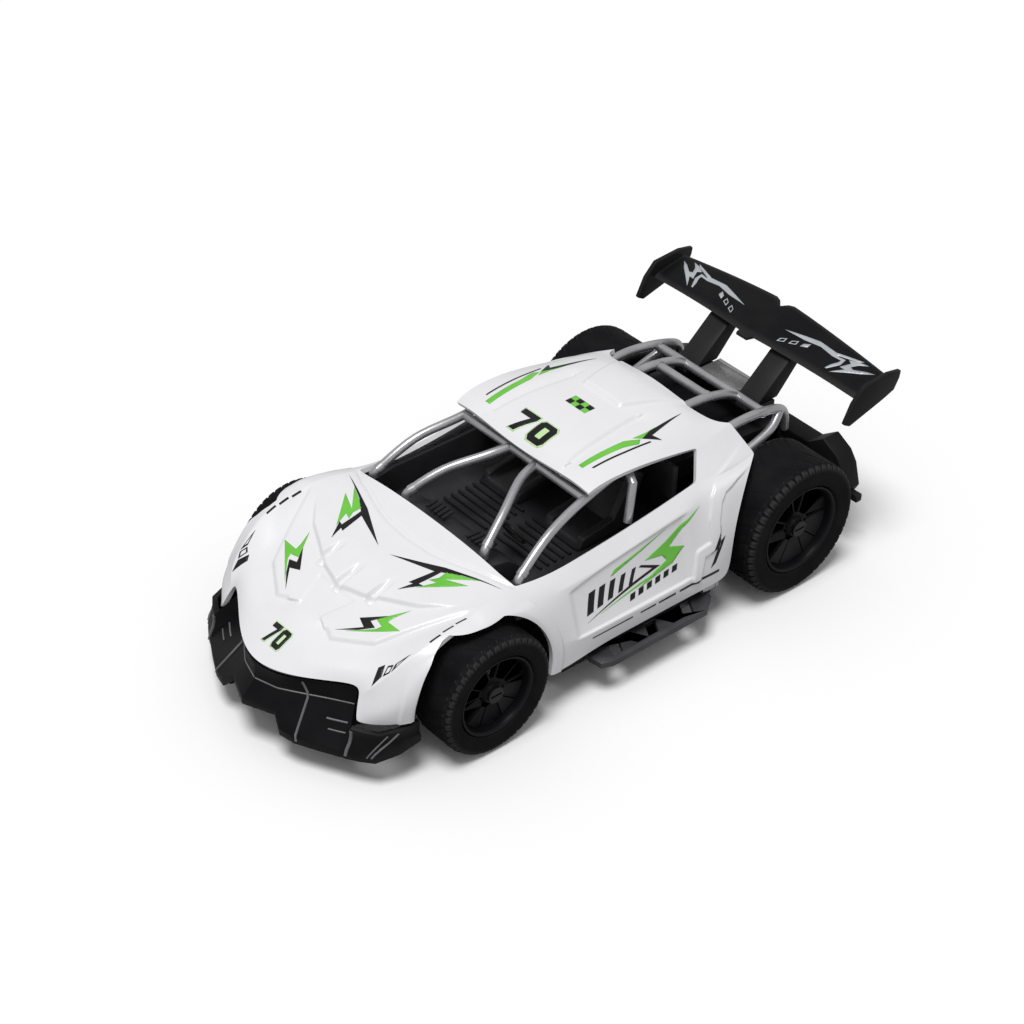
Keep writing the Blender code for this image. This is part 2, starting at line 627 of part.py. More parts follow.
def make_struts():
    a = WHEELBASE
    foot = DECK_Z + GAP
    lead, trail = wing_section(0.4)
    under = WING_T * 0.45 + GAP + 0.25          # depth of the blade below its chord, plus play
    front = lead + (trail - lead) * 0.02
    back = lead + (trail - lead) * 0.5
    outline = [(a + 10.5, foot), (a + 20.5, foot), (back.x + 0.5, back.y - under - 0.2),
               (front.x + 0.5, front.y - under)]
    strut = plate("YZ", outline, STRUT_X0, STRUT_X1)
    part("wing_strut_left", strut, "black_plastic")
    part("wing_strut_right", mirrored(strut), "black_plastic")


# ---- cage -------------------------------------------------------------------------------
def both_sides(points):
    return [points, [(-x, y, z) for x, y, z in points]]


def make_windscreen_frame():
    """Pillars, inner bars and roof rails, moulded as one frame on the cockpit tray."""
    roof = ROOF_Z - SHELL_T - CAGE_R - 1.0
    front = COWL_Y + 36.6
    top = roof - 5.6                            # under the drooping front edge of the roof
    rear = WHEELBASE - 26
    w = BODY_HALF_W
    side = w - 20.6                             # the pillars' reach under the roof's edge
    a_bar = [(w - 14.2, COWL_Y + 4.2, 43.8), (w - 14.6, COWL_Y + 5.5, 46),
             (w - 17.2, COWL_Y + 19, 54), (side, front, top - 0.4),
             (side - 1.2, front + 20, roof - 2.8), (side - 2.7, rear, roof - 7.2)]
    inner = [(19.2, COWL_Y + 4.2, 43.8), (18.8, COWL_Y + 5.5, 47), (14.6, COWL_Y + 16, 53),
             (8.4, COWL_Y + 28, 56.8), (6, front, top)]
    header = [(-side, front, top - 0.4), (-6, front, top), (6, front, top),
              (side, front, top - 0.4)]
    post = [(w - 14.8, WHEELBASE * 0.52, 45.5), (w - 17, WHEELBASE * 0.545, 58),
            (w - 22.2, WHEELBASE * 0.56, roof - 2.8)]
    hoop = post + [(-x, y, z) for x, y, z in reversed(post)]
    bars = both_sides(a_bar) + both_sides(inner) + [header, hoop]
    meshes = [tube(points) for points in bars]
    part("windscreen_frame", combine(meshes[0], meshes[1:]), "cage_grey")


def make_rear_cage():
    a = WHEELBASE
    wide = BODY_HALF_W - 23                     # the bars' reach, clear of the tyres
    foot, low = wide - 1.6, wide + 1.8
    outer = [(wide, a - 20, 53.4), (wide - 0.3, a - 8, 54.9), (wide - 1, a + 4, 53.8),
             (foot, a + 14, 51.2), (foot, a + 17.5, 48), (foot, a + 18.5, DECK_Z - 8)]
    inner = [(12.2, a - 20, 58.2), (12.4, a - 8, 57.6), (12.5, a + 2, 55.2), (12.4, a + 7.4, 52.2)]
    down = [(foot + 0.2, a + 15, 50.2), (low - 0.6, a + 8, 46.5), (low, a - 6, 42.6),
            (low, a - 16, 42)]
    hoop = [(-wide, a - 19, 53.6), (-12.2, a - 19, 58.2), (12.2, a - 19, 58.2),
            (wide, a - 19, 53.6)]
    back = wide - 1.2
    bars = (both_sides(outer) + both_sides(inner) + both_sides(down)
            + [[(-12.4, a - 6, 57.2), (12.4, a - 6, 57.2)],
               [(-back, a + 7.4, 52.4), (back, a + 7.4, 52.4)], hoop])
    meshes = [tube(points, CAGE_R + 0.1) for points in bars]
    part("rear_cage", combine(meshes[0], meshes[1:]), "cage_grey")


# ---- cockpit ------------------------------------------------------------------------------
TRAY_Z = REAR_AXLE_Z + 6.3                  # clears the motor
REAR_BAY_Y = WHEELBASE - 37.6               # tray in front of it, gearbox and deck behind


def make_cockpit():
    y0, y1 = COWL_Y + 2.4, REAR_BAY_Y - GAP
    half = BODY_HALF_W - 11.6
    outline = [(24, y0), (half - 1.5, y0 + 0.6), (half, y0 + 10), (half, y1 - 6), (half - 6, y1)]
    inner = [(23, y0 + 1.4), (half - 3, y0 + 2.2), (half - 1.4, y0 + 11), (half - 1.4, y1 - 7),
             (half - 7, y1 - 1.4)]

    def whole(points):
        return points + [(-x, y) for x, y in reversed(points)]

    rim = 42.4
    tray = combine(plate("XY", whole(outline), TRAY_Z, rim),
                   cut=[plate("XY", whole(inner), TRAY_Z + 1.6, rim + 5)])
    lid = box(-half + 6.5, half - 6.5, y1 - 1.8, y1, rim - 1, 54)
    part("cockpit_tray", combine(tray, [lid]), "black_plastic")
    base = TRAY_Z + 1.6 + GAP
    dash = [(y0 + 1.7, base), (y0 + 16, base), (y0 + 15, 36), (y0 + 10, 40.5), (y0 + 1.7, 42)]
    part("dashboard", plate("YZ", dash, -22, 22), "black_plastic")
    seat_y = REAR_BAY_Y - 35.2
    profile = [(seat_y, base), (seat_y + 21, base), (seat_y + 27, 51), (seat_y + 22.5, 53),
               (seat_y + 15, base + 5.7), (seat_y + 2, base + 3.7)]
    seat = plate("YZ", profile, 6.5, 24.5)
    hollow = plate("YZ", [(seat_y - 3, base + 2.2), (seat_y + 15.8, base + 2.1),
                          (seat_y + 22, 48), (seat_y + 14, 56), (seat_y - 3, 45)], 9.5, 21.5)
    seat = combine(seat, cut=[hollow])
    part("seat_left", seat, "black_plastic")
    part("seat_right", mirrored(seat), "black_plastic")


def make_rear_deck():
    """Black cover over the gearbox that carries the cage and the wing struts."""
    a = WHEELBASE
    under = REAR_AXLE_Z + 15.9                  # clears the gearbox lid
    profile = [(REAR_BAY_Y, under), (a + 19.6, under), (a + 19.6, under + 3), (a + 8, under + 4),
               (a - 22, under + 6.5), (REAR_BAY_Y, under + 8)]
    half = BODY_HALF_W - 26.6
    body = plate("YZ", profile, -half, half)
    seats = [box(min(s * STRUT_X0, s * STRUT_X1) - 0.4, max(s * STRUT_X0, s * STRUT_X1) + 0.4,
                 a + 10, a + 19, under + 2, DECK_Z) for s in (-1, 1)]
    plug = plate("XZ", [(-7, under + 2), (7, under + 2), (9, under + 7.5), (-9, under + 7.5)],
                 a + 11, a + 18.6)
    skirt = box(-half, half, a + 17.6, a + 19.6, under - 9, under + 1)
    part("rear_deck", combine(body, seats + [plug, skirt]), "black_plastic")


# ---- wheels -------------------------------------------------------------------------------
def tyre_profile(half_w, bead, outer):
    return [(half_w - 0.5, bead), (half_w, bead + 1.4), (half_w, outer - 1.3),
            (half_w - 0.7, outer - 0.4), (half_w - 2.6, outer), (-half_w + 2.6, outer),
            (-half_w + 0.7, outer - 0.4), (-half_w, outer - 1.3), (-half_w, bead + 1.4),
            (-half_w + 0.5, bead)]


def rim_mesh(face_x, width, bead, bore, y, z, hub_in):
    """Barrel, recessed spoke face and hub, turned as one, with the windows cut out."""
    outer = bead - GAP
    edge = face_x - RIM_INSET
    back = face_x - width + 0.9
    face = edge - RIM_DISH
    wall = outer - 1.2
    profile = [(edge, outer), (edge, outer - 1.0), (face, wall), (face + 0.5, 3.6),
               (face + 0.5, bore), (hub_in, bore), (hub_in, 3.4), (face - SPOKE_T, 3.8),
               (face - SPOKE_T, wall), (back, wall), (back, outer)]
    body = turned(profile, 0, y, z, 36)
    windows = []
    inner_r, outer_r = 4.4, wall - 0.5
    for i in range(SPOKES):
        middle = 2 * math.pi * (i + 0.5) / SPOKES + math.pi / 2
        reach = math.pi / SPOKES - 2.3 / outer_r
        pinch = math.pi / SPOKES - 1.7 / (inner_r + 1.5)
        windows.append(window(middle, pinch, reach, inner_r + 1.0, outer_r, y, z, face))
        spoke = middle + math.pi / SPOKES
        windows.append(window(spoke, 0.02, 0.9 / outer_r, inner_r + 2.4, outer_r, y, z, face))
    return combine(body, cut=[joined(windows)])


def window(middle, pinch, reach, inner_r, outer_r, y, z, face):
    corners = [(middle - pinch, inner_r), (middle - reach, outer_r), (middle, outer_r + 0.25),
               (middle + reach, outer_r), (middle + pinch, inner_r)]
    outline = [(y + r * math.cos(t), z + r * math.sin(t)) for t, r in corners]
    return plate("YZ", outline, face - SPOKE_T - 1, face + 1)


def make_wheels():
    fronts = (FRONT_FACE_X, FRONT_TYRE_W, FRONT_BEAD_R, FRONT_TYRE_R, 0.0, FRONT_AXLE_Z)
    rears = (REAR_FACE_X, REAR_TYRE_W, REAR_BEAD_R, REAR_TYRE_R, WHEELBASE, REAR_AXLE_Z)
    for place, (face, width, bead, outer, y, z) in (("front", fronts), ("rear", rears)):
        middle = face - width / 2
        tyre = turned(tyre_profile(width / 2, bead, outer), middle, y, z, 36)
        if place == "front":
            bore, hub_in = WHEEL_PIN_R + RUN, KINGPIN_X + 2.9
        else:
            bore, hub_in = REAR_AXLE_R + 0.1, face - width - 0.9
        rim = rim_mesh(face, width, bead, bore, y, z, hub_in)
        for side, flip in (("left", 1), ("right", -1)):
            where = (flip * middle, y, z)
            shapes = (tyre, rim) if flip == 1 else (mirrored(tyre), mirrored(rim))
            part(f"{place}_{side}_tyre", shapes[0], "tyre_rubber", where, True)
            part(f"{place}_{side}_rim", shapes[1], "rim_black", where, True)


def make_front_axle():
    """Knuckles on kingpins, wheel pins, the plate above them and the tie rod."""
    z = FRONT_AXLE_Z
    face = FRONT_FACE_X - RIM_INSET - RIM_DISH + 0.5
    top, low = 27.4, 14.2
    body = box(KINGPIN_X - 2.6, KINGPIN_X + 2.6, -4, 4, low, top)
    pin = rod("Z", 11.2, 30.2, (KINGPIN_X, 0), KINGPIN_R, 16)
    arm = box(KINGPIN_X - 1.6, KINGPIN_X + 1.6, 3, STEER_ARM + 1.4, 20.5, 23.2)
    post = rod("Z", 22, 27.6, (KINGPIN_X, STEER_ARM), TIE_PIN_R, 14)
    socket = rod("X", KINGPIN_X - 5, KINGPIN_X + 5, (0, z), WHEEL_PIN_R + 0.1, 20)
    knuckle = combine(body, [pin, arm, post], [socket])
    for side, mesh in (("left", knuckle), ("right", mirrored(knuckle))):
        sign = 1 if side == "left" else -1
        part(f"steering_knuckle_{side}", mesh, "black_plastic", (sign * KINGPIN_X, 0, z))
    shank = rod("X", KINGPIN_X - 2, face + 1.2, (0, z), WHEEL_PIN_R, 20)
    head = rod("X", face + GAP, face + GAP + 1.4, (0, z), WHEEL_SCREW_R, 20)
    slot = box(face + 1.2, face + 2.6, -2.2, 2.2, z - 0.35, z + 0.35)
    pin = combine(shank, [head], [slot])
    part("front_wheel_pin_left", pin, "steel", (KINGPIN_X, 0, z), True)
    part("front_wheel_pin_right", mirrored(pin), "steel", (-KINGPIN_X, 0, z), True)
    reach = KINGPIN_X + 3.2
    holes = [rod("Z", 20, 40, (s * KINGPIN_X, 0), KINGPIN_R + RUN, 16) for s in (-1, 1)]
    bridge = combine(box(-reach, reach, -4.5, 4.5, 28, 30.4), cut=holes)
    part("front_axle_plate", bridge, "black_plastic")
    play = 0.25
    slots = [box(x - TIE_PIN_R - play, x + TIE_PIN_R + play, STEER_ARM - TIE_PIN_R - play - 0.45,
                 STEER_ARM + TIE_PIN_R + play, 20, 40) for x in (-KINGPIN_X, 0, KINGPIN_X)]
    end = KINGPIN_X + TIE_PIN_R + play + 1.2
    tie = combine(box(-end, end, STEER_ARM - 2.6, STEER_ARM + 2.4, 24.2, 26.4), cut=slots)
    part("tie_rod", tie, "black_plastic")


def make_steering_gear():
    pivot_y = 2 * STEER_ARM
    body = box(-13, 13, pivot_y - 6.5, pivot_y + 13, FLOOR_TOP + GAP, 23.4)
    boss = rod("Z", 23, 25.4, (0, pivot_y), 3.4, 18)
    well = rod("Z", 20, 30, (0, pivot_y), 1.5 + RUN, 16)
    part("steering_box", combine(body, [boss], [well]), "black_plastic")
    hub = rod("Z", 27, 29.4, (0, pivot_y), 3.2, 18)
    stem = rod("Z", 21, 28, (0, pivot_y), 1.5, 16)
    arm = box(-1.7, 1.7, STEER_ARM - 1.4, pivot_y, 27, 29.4)
    post = rod("Z", 24.4, 28, (0, STEER_ARM), TIE_PIN_R, 14)
    horn = combine(hub, [stem, arm, post])
    part("servo_arm", horn, "gear_nylon", (0, pivot_y, 28))
    disc = rod("Z", CLEARANCE_Z + 0.4, FLOOR_TOP, (0, TRIM_Y), TRIM_R, 24)
    tab = box(-0.9, 0.9, TRIM_Y - TRIM_R + 0.3, TRIM_Y + TRIM_R - 1.5, CLEARANCE_Z - 1,
              CLEARANCE_Z + 0.8)
    part("trim_lever", combine(disc, [tab]), "black_plastic", (0, TRIM_Y, CLEARANCE_Z))


# ---- gears --------------------------------------------------------------------------------
def involute(angle):
    return math.tan(angle) - angle


def gear_outline(teeth, module, phase, y, z):
    """Straight-sided approximation of involute teeth: root, pitch and tip on each flank."""
    pressure = math.radians(PRESSURE_DEG)
    pitch_r = teeth * module / 2
    base_r = pitch_r * math.cos(pressure)
    tip_r = pitch_r + 0.85 * module
    root_r = pitch_r - 1.1 * module
    half_pitch = math.pi / (2 * teeth) - TOOTH_PLAY / (2 * pitch_r)
    tip_half = half_pitch + involute(pressure) - involute(math.acos(base_r / tip_r))
    root_half = half_pitch + 0.32 * module / pitch_r
    outline = []
    for i in range(teeth):
        centre = phase + 2 * math.pi * i / teeth
        for r, half in ((root_r, -root_half), (pitch_r, -half_pitch), (tip_r, -tip_half),
                        (tip_r, tip_half), (pitch_r, half_pitch), (root_r, root_half)):
            outline.append((y + r * math.cos(centre + half), z + r * math.sin(centre + half)))
    return outline


def polar(centre, distance, degrees):
    angle = math.radians(degrees)
    return (centre[0] + distance * math.cos(angle), centre[1] + distance * math.sin(angle))


def make_drive():
    axle = (WHEELBASE, REAR_AXLE_Z)
    final_gap = (AXLE_TEETH + SMALL_TEETH) * FINAL_MODULE / 2
    motor_gap = (LARGE_TEETH + PINION_TEETH) * MOTOR_MODULE / 2
    middle = polar(axle, final_gap, COMPOUND_TILT_DEG)
    motor = polar(middle, motor_gap, PINION_TILT_DEG)
    to_middle, to_motor = math.radians(COMPOUND_TILT_DEG), math.radians(PINION_TILT_DEG)
    x0, x1 = FINAL_X
    m0, m1 = MOTOR_X
    big = plate("YZ", gear_outline(AXLE_TEETH, FINAL_MODULE, to_middle, *axle), x0, x1)
    big = combine(big, cut=[rod("X", -5, 20, axle, REAR_AXLE_R + 0.1, 20)])
    part("axle_gear", big, "gear_nylon", (x0, *axle))
    small_phase = to_middle + math.pi + math.pi / SMALL_TEETH
    small = plate("YZ", gear_outline(SMALL_TEETH, FINAL_MODULE, small_phase, 0, 0), x0, m0 + 0.5)
    large = plate("YZ", gear_outline(LARGE_TEETH, MOTOR_MODULE, to_motor, 0, 0), m0, m1)
    pair = combine(small, [large], [rod("X", -5, 20, (0, 0), SHAFT_R + RUN, 18)])
    pair.transform(Matrix.Translation(Vector((0, *middle)) * MM))
    part("compound_gear", pair, "gear_nylon", (x0, *middle))
    pinion_phase = to_motor + math.pi + math.pi / PINION_TEETH
    teeth = gear_outline(PINION_TEETH, MOTOR_MODULE, pinion_phase, *motor)
    pinion = plate("YZ", teeth, m0 + 0.2, m1 + 0.3)
    stem = rod("X", -5.5, m1 + 0.9, motor, SHAFT_R, 16)
    part("motor_pinion", combine(pinion, [stem]), "brass", (m0, *motor))
    part("compound_shaft", rod("X", HOUSING_X[0] + 0.1, HOUSING_X[1] - 0.1, middle, SHAFT_R, 16),
         "steel", (0, *middle), True)
    make_motor(motor)
    make_housing(axle, middle, motor)
    make_rear_axle(axle)


def make_motor(motor):
    front = HOUSING_X[0] - GAP
    can = rod("X", front - MOTOR_LEN, front, motor, MOTOR_R, 32)
    boss = rod("X", front - MOTOR_LEN - 1.6, front - MOTOR_LEN + 1, motor, 3.2, 16)
    well = rod("X", front - 6, front + 3, motor, SHAFT_R + RUN + 0.1, 16)
    near, far = motor[0] - MOTOR_R - 2, motor[0] + MOTOR_R + 2
    flats = [box(front - MOTOR_LEN - 3, front + 3, near, far, motor[1] + s, motor[1] + s + 4)
             for s in (MOTOR_R - 2, -MOTOR_R - 2)]
    part("drive_motor", combine(can, [boss], [well] + flats), "steel", (0, *motor), True)


def make_housing(axle, middle, motor):
    """Open-topped gear case and its lid; shafts cross its two side walls."""
    x0, x1 = HOUSING_X
    y0, y1 = motor[0] - 6.0, axle[0] + 14.0
    floor, rim = FLOOR_TOP + GAP, REAR_AXLE_Z + 13.5
    hollow = box(x0 + HOUSING_T, x1 - HOUSING_T, y0 + HOUSING_T, y1 - HOUSING_T, floor + 1.1,
                 rim + 3)
    case = combine(box(x0, x1, y0, y1, floor, rim), cut=[hollow])
    holes = [rod("X", x0 - 2, x1 + 2, axle, REAR_AXLE_R + 0.6, 18),
             rod("X", x0 - 2, x1 + 2, middle, SHAFT_R + 0.15, 16),
             rod("X", x0 - 2, x0 + 3, motor, SHAFT_R + 0.8, 16)]
    part("gearbox_case", combine(case, cut=holes), "black_plastic")
    inset = HOUSING_T + GAP
    lip = box(x0 + inset, x1 - inset, y0 + inset, y1 - inset, rim - 0.2, rim + 1)
    inside = box(x0 + inset + 1.1, x1 - inset - 1.1, y0 + 4, y1 - 4, rim - 1, rim + 0.1)
    lid = combine(box(x0, x1, y0, y1, rim + GAP, rim + GAP + 1.5), [lip], [inside])
    part("gearbox_lid", lid, "black_plastic")


def make_rear_axle(axle):
    hub_end = REAR_FACE_X - RIM_INSET - RIM_DISH + 0.5
    shaft = rod("X", -hub_end + 1.2, hub_end - 1.2, axle, REAR_AXLE_R, 20)
    part("rear_axle", shaft, "steel", (0, *axle), True)
    cheek = REAR_FACE_X - REAR_TYRE_W - 1.9
    ring = combine(rod("X", cheek - WALL_T - 1.6, cheek + 0.2, axle, BUSH_R, 20),
                   cut=[rod("X", cheek - 5, cheek + 2, axle, REAR_AXLE_R + RUN, 20)])
    seat = hub_end + GAP
    head = rod("X", seat, seat + 1.5, axle, WHEEL_SCREW_R, 20)
    stem = rod("X", hub_end - 0.9, hub_end + 1, axle, REAR_AXLE_R, 20)
    slot = box(seat + 0.8, seat + 3, axle[0] - 2.2, axle[0] + 2.2, axle[1] - 0.35, axle[1] + 0.35)
    screw = combine(head, [stem], [slot])
    origin = (0, *axle)
    part("axle_bush_left", ring, "brass", origin, True)
    part("axle_bush_right", mirrored(ring), "brass", origin, True)
    part("rear_wheel_screw_left", screw, "steel", origin, True)
    part("rear_wheel_screw_right", mirrored(screw), "steel", origin, True)


# ---- electrics and fasteners -----------------------------------------------------------------
def make_electrics():
    y0, y1 = BATTERY_Y
    half = BATTERY_HALF_W
    base = FLOOR_TOP + GAP
    cell_r = half / 2 - 0.1
    cells = [rod("Y", y0 + 1, y1 - 1, (s * (cell_r - 0.4), base + cell_r), cell_r, 20)
             for s in (-1, 1)]
    belt = box(-half + 1.5, half - 1.5, y0 + 3, y1 - 3, base + 2, base + 2 * cell_r - 1)
    part("battery_pack", combine(cells[0], [cells[1], belt]), "battery_wrap")
    hinge_y = y0 - 1.1
    middle = CLEARANCE_Z + DOOR_T / 2
    leaf = box(-half - 2.5, half + 2.5, hinge_y, y1 + 2, CLEARANCE_Z, CLEARANCE_Z + DOOR_T)
    barrel = rod("X", -half - 2.5, half + 2.5, (hinge_y, middle), DOOR_T / 2, 12)
    grip = box(-5, 5, y1 - 4, y1 - 2, CLEARANCE_Z - 0.7, CLEARANCE_Z + 0.5)
    part("battery_door", combine(leaf, [barrel, grip]), "black_plastic", (0, hinge_y, middle))
    sx, sy = SWITCH_XY
    knob = box(sx - 1.9, sx + 1.9, sy - 2.5, sy + 2.5, CLEARANCE_Z - 1.1, FLOOR_TOP - 0.2)
    part("power_switch", knob, "black_plastic", (sx, sy, CLEARANCE_Z))
    y0, y1 = WHEELBASE - 68, WHEELBASE - 42
    base = FLOOR_TOP + GAP
    x0, x1 = -BODY_HALF_W + 8, -BATTERY_HALF_W - 4
    board = box(x0, x1, y0, y1, base, base + 1.5)
    chips = [box(x0 + 8, x0 + 15, y0 + 4, y0 + 11, base + 0.7, base + 3.1),
             box(x0 + 5, x0 + 9, y0 + 16, y0 + 22, base + 0.7, base + 4.7)]
    part("circuit_board", combine(board, chips), "board_green")


def make_body_screws():
    for i, (x, y) in enumerate(SCREW_XY):
        head = rod("Z", CLEARANCE_Z + 0.2, CLEARANCE_Z + 0.9, (x, y), SCREW_HEAD_R, 14)
        shank = rod("Z", CLEARANCE_Z + 0.5, 18, (x, y), SCREW_R, 10)
        screw = combine(head, [shank])
        place = ("front", "rear")[i]
        part(f"body_screw_{place}_left", screw, "steel", (x, y, CLEARANCE_Z), True)
        part(f"body_screw_{place}_right", mirrored(screw), "steel", (-x, y, CLEARANCE_Z), True)


clear_scene()
CAR = new_collection("remote_control_car")
CUTTERS = new_collection("cutters")
MATERIALS = {name: make_material(name) for name in SLOTS}
ORIGIN = bpy.data.objects.new("car_origin", None)
CAR.objects.link(ORIGIN)
make_shell()
make_chassis()
make_front_bumper()
make_rear_bumper()
make_side_steps()
make_wing()
make_struts()
make_windscreen_frame()
make_rear_cage()
make_cockpit()
make_rear_deck()
make_wheels()
make_front_axle()
make_steering_gear()
make_drive()
make_electrics()
make_body_screws()
ORIGIN.location = (0, CENTRE_SHIFT * MM, 0)
bpy.context.view_layer.update()
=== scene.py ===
"""Looks of the remote control racing car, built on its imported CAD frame.

Shapes are written in millimetres in the car's own frame: +X is its left side, the nose
points to -Y, +Z is up, y = 0 is the front axle and z = 0 the floor. PLACE turns that
into the frame's metres.
"""

import json
import math

import bmesh
import bpy
import numpy as np
from mathutils import Matrix, Vector
from mathutils.bvhtree import BVHTree

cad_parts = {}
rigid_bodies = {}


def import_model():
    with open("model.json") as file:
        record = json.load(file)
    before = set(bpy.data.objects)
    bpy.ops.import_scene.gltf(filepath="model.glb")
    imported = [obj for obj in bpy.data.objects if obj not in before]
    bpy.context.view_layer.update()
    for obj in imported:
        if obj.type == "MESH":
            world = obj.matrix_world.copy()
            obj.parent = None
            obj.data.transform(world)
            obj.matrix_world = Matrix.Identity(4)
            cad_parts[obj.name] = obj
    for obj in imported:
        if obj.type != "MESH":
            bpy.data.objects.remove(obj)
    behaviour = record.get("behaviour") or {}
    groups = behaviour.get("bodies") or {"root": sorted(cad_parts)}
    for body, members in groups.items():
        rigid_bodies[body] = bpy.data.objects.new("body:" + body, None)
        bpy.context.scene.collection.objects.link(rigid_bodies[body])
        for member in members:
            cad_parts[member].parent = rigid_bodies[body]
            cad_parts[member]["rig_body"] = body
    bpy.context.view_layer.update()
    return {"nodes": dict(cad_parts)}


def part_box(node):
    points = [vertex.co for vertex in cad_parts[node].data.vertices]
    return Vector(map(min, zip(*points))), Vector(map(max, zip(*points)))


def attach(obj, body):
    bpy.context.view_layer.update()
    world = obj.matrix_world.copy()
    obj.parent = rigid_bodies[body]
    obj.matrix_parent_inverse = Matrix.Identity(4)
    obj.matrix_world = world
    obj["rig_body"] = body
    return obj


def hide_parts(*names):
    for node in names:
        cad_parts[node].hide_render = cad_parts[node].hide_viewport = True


MM = 0.001
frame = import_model()


# ---- sizes, most of them read from the frame (mm) --------------------------------------
def centre(node):
    low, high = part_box(node)
    return (low + high) / 2


AXLE = centre("front_left_tyre")
PLACE = Matrix.Translation((0, AXLE.y, 0)) @ Matrix.Scale(MM, 4)


def extent(node):
    """Lowest and highest corner of a node in the car's own millimetres."""
    back = PLACE.inverted()
    low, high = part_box(node)
    return back @ low, back @ high


WHEELBASE = (centre("rear_left_tyre").y - AXLE.y) / MM
FRONT_R = extent("front_left_tyre")[1].z / 2
REAR_R = extent("rear_left_tyre")[1].z / 2
NOSE_Y = extent("body_shell")[0].y
BODY_HALF_W = 49.8
SHELL_T = 1.6
CREASE = 0.55
SILL_Z = 16.6
ROOF_Z = 67.6
COWL_Y = 17.2
ARCH_GAP = 4.6
REAR_ARCH_REACH = REAR_R + 3.5
CAGE_R = 1.5
STICKER_T = 0.05                            # film thickness of the printed marks
PRINT_LIFT, NUMBER_LIFT = 0.04, 0.14        # how far the films stand off the paint
ROOF_LIFT = 0.09
PRINT_EDGE = 1.1                            # longest edge of a film, so that it follows the shell
WELD = 1e-4                                 # merges doubled points of filled outlines
DETAIL = 5                                  # subdivision level of the body shell
SOFT_EDGE, SOFT_ANGLE = 0.4, 32             # rounding of moulded edges sharper than the angle

COLOURS = {                                 # base colour, second colour, roughness, metallic
    "shell_white": ((0.83, 0.83, 0.85), (0.815, 0.815, 0.835), 0.30, 0.0),
    "black_plastic": ((0.005, 0.005, 0.006), (0.008, 0.008, 0.009), 0.40, 0.0),
    "cage_grey": ((0.60, 0.60, 0.62), (0.50, 0.50, 0.52), 0.30, 0.75),
    "tyre_rubber": ((0.006, 0.006, 0.007), (0.011, 0.010, 0.011), 0.62, 0.0),
    "rim_black": ((0.005, 0.005, 0.006), (0.008, 0.008, 0.010), 0.40, 0.0),
    # paler copy of black plastic for the cabin: painted light in the shaded cockpit
    "cabin_painted_light": ((0.026, 0.026, 0.029), (0.018, 0.018, 0.021), 0.45, 0.0),
    "step_grey": ((0.085, 0.085, 0.093), (0.062, 0.062, 0.068), 0.38, 0.5),
    "deck_silver": ((0.55, 0.55, 0.56), (0.45, 0.45, 0.46), 0.28, 0.8),
    # pale grey for the bumper ribs: a painted glint along them
    "rib_painted_glint": ((0.16, 0.16, 0.165), (0.12, 0.12, 0.125), 0.35, 0.0),
    "hub_black": ((0.010, 0.010, 0.012), (0.016, 0.016, 0.018), 0.35, 0.4),
    "steel": ((0.50, 0.50, 0.51), (0.40, 0.40, 0.41), 0.28, 1.0),
    "brass": ((0.55, 0.38, 0.14), (0.46, 0.30, 0.10), 0.30, 1.0),
    "gear_nylon": ((0.72, 0.71, 0.66), (0.66, 0.65, 0.60), 0.50, 0.0),
    "battery_wrap": ((0.02, 0.10, 0.36), (0.015, 0.08, 0.30), 0.35, 0.0),
    "board_green": ((0.01, 0.12, 0.05), (0.008, 0.09, 0.04), 0.40, 0.0),
    "print_black": ((0.010, 0.010, 0.010), (0.018, 0.018, 0.018), 0.33, 0.0),
    "print_green": ((0.17, 0.60, 0.06), (0.14, 0.53, 0.05), 0.33, 0.0),
    "print_pale": ((0.55, 0.80, 0.40), (0.62, 0.84, 0.50), 0.33, 0.0),
    "print_silver": ((0.50, 0.53, 0.56), (0.42, 0.45, 0.48), 0.36, 0.2),
}
GRAIN = {                                   # grain size (mm), bump height (mm), gloss coat
    "shell_white": (0.9, 0.004, 0.35),
    "black_plastic": (0.35, 0.018, 0.0),
    "cage_grey": (0.30, 0.010, 0.15),
    "tyre_rubber": (0.45, 0.030, 0.0),
    "rim_black": (0.5, 0.006, 0.0),
    "steel": (0.4, 0.006, 0.0),
    "brass": (0.4, 0.006, 0.0),
}
PLAIN_GRAIN = (0.5, 0.005, 0.0)
CLOUD_MM = 9.0                              # size of the slow change of colour
COAT_ROUGHNESS = 0.12
PLAIN_SHEEN = 0.5
# Paler tone for sharp outward edges; on the tyres it is a painted highlight along the tread
# shoulders and block edges.
WEAR_AND_GLINT_TONE = (0.35, 0.35, 0.36, 1)
EDGE_WEAR_AND_GLINT = {"black_plastic": 0.06, "rim_black": 0.04, "tyre_rubber": 0.22, "cage_grey": 0.2}
SHEEN = {"black_plastic": 0.11, "rim_black": 0.10, "tyre_rubber": 0.06, "print_black": 0.2}


# ---- materials -------------------------------------------------------------------------
def node(tree, kind, **values):
    made = tree.nodes.new(kind)
    for name, value in values.items():
        made.inputs[name].default_value = value
    return made


def noise_node(tree, coords, size_mm, detail=3.0):
    made = node(tree, "ShaderNodeTexNoise", Scale=1.0 / (size_mm * MM), Detail=detail)
    tree.links.new(coords, made.inputs["Vector"])
    return made.outputs["Fac"]


def ramp(tree, source, low, high, first, second):
    made = tree.nodes.new("ShaderNodeValToRGB")
    made.color_ramp.elements[0].position = low
    made.color_ramp.elements[1].position = high
    made.color_ramp.elements[0].color = (*first, 1)
    made.color_ramp.elements[1].color = (*second, 1)
    tree.links.new(source, made.inputs["Fac"])
    return made.outputs["Color"]


def span_node(tree, source, low, high, to_low, to_high):
    made = node(tree, "ShaderNodeMapRange")
    for name, value in (("From Min", low), ("From Max", high),
                        ("To Min", to_low), ("To Max", to_high)):
        made.inputs[name].default_value = value
    tree.links.new(source, made.inputs["Value"])
    return made.outputs["Result"]


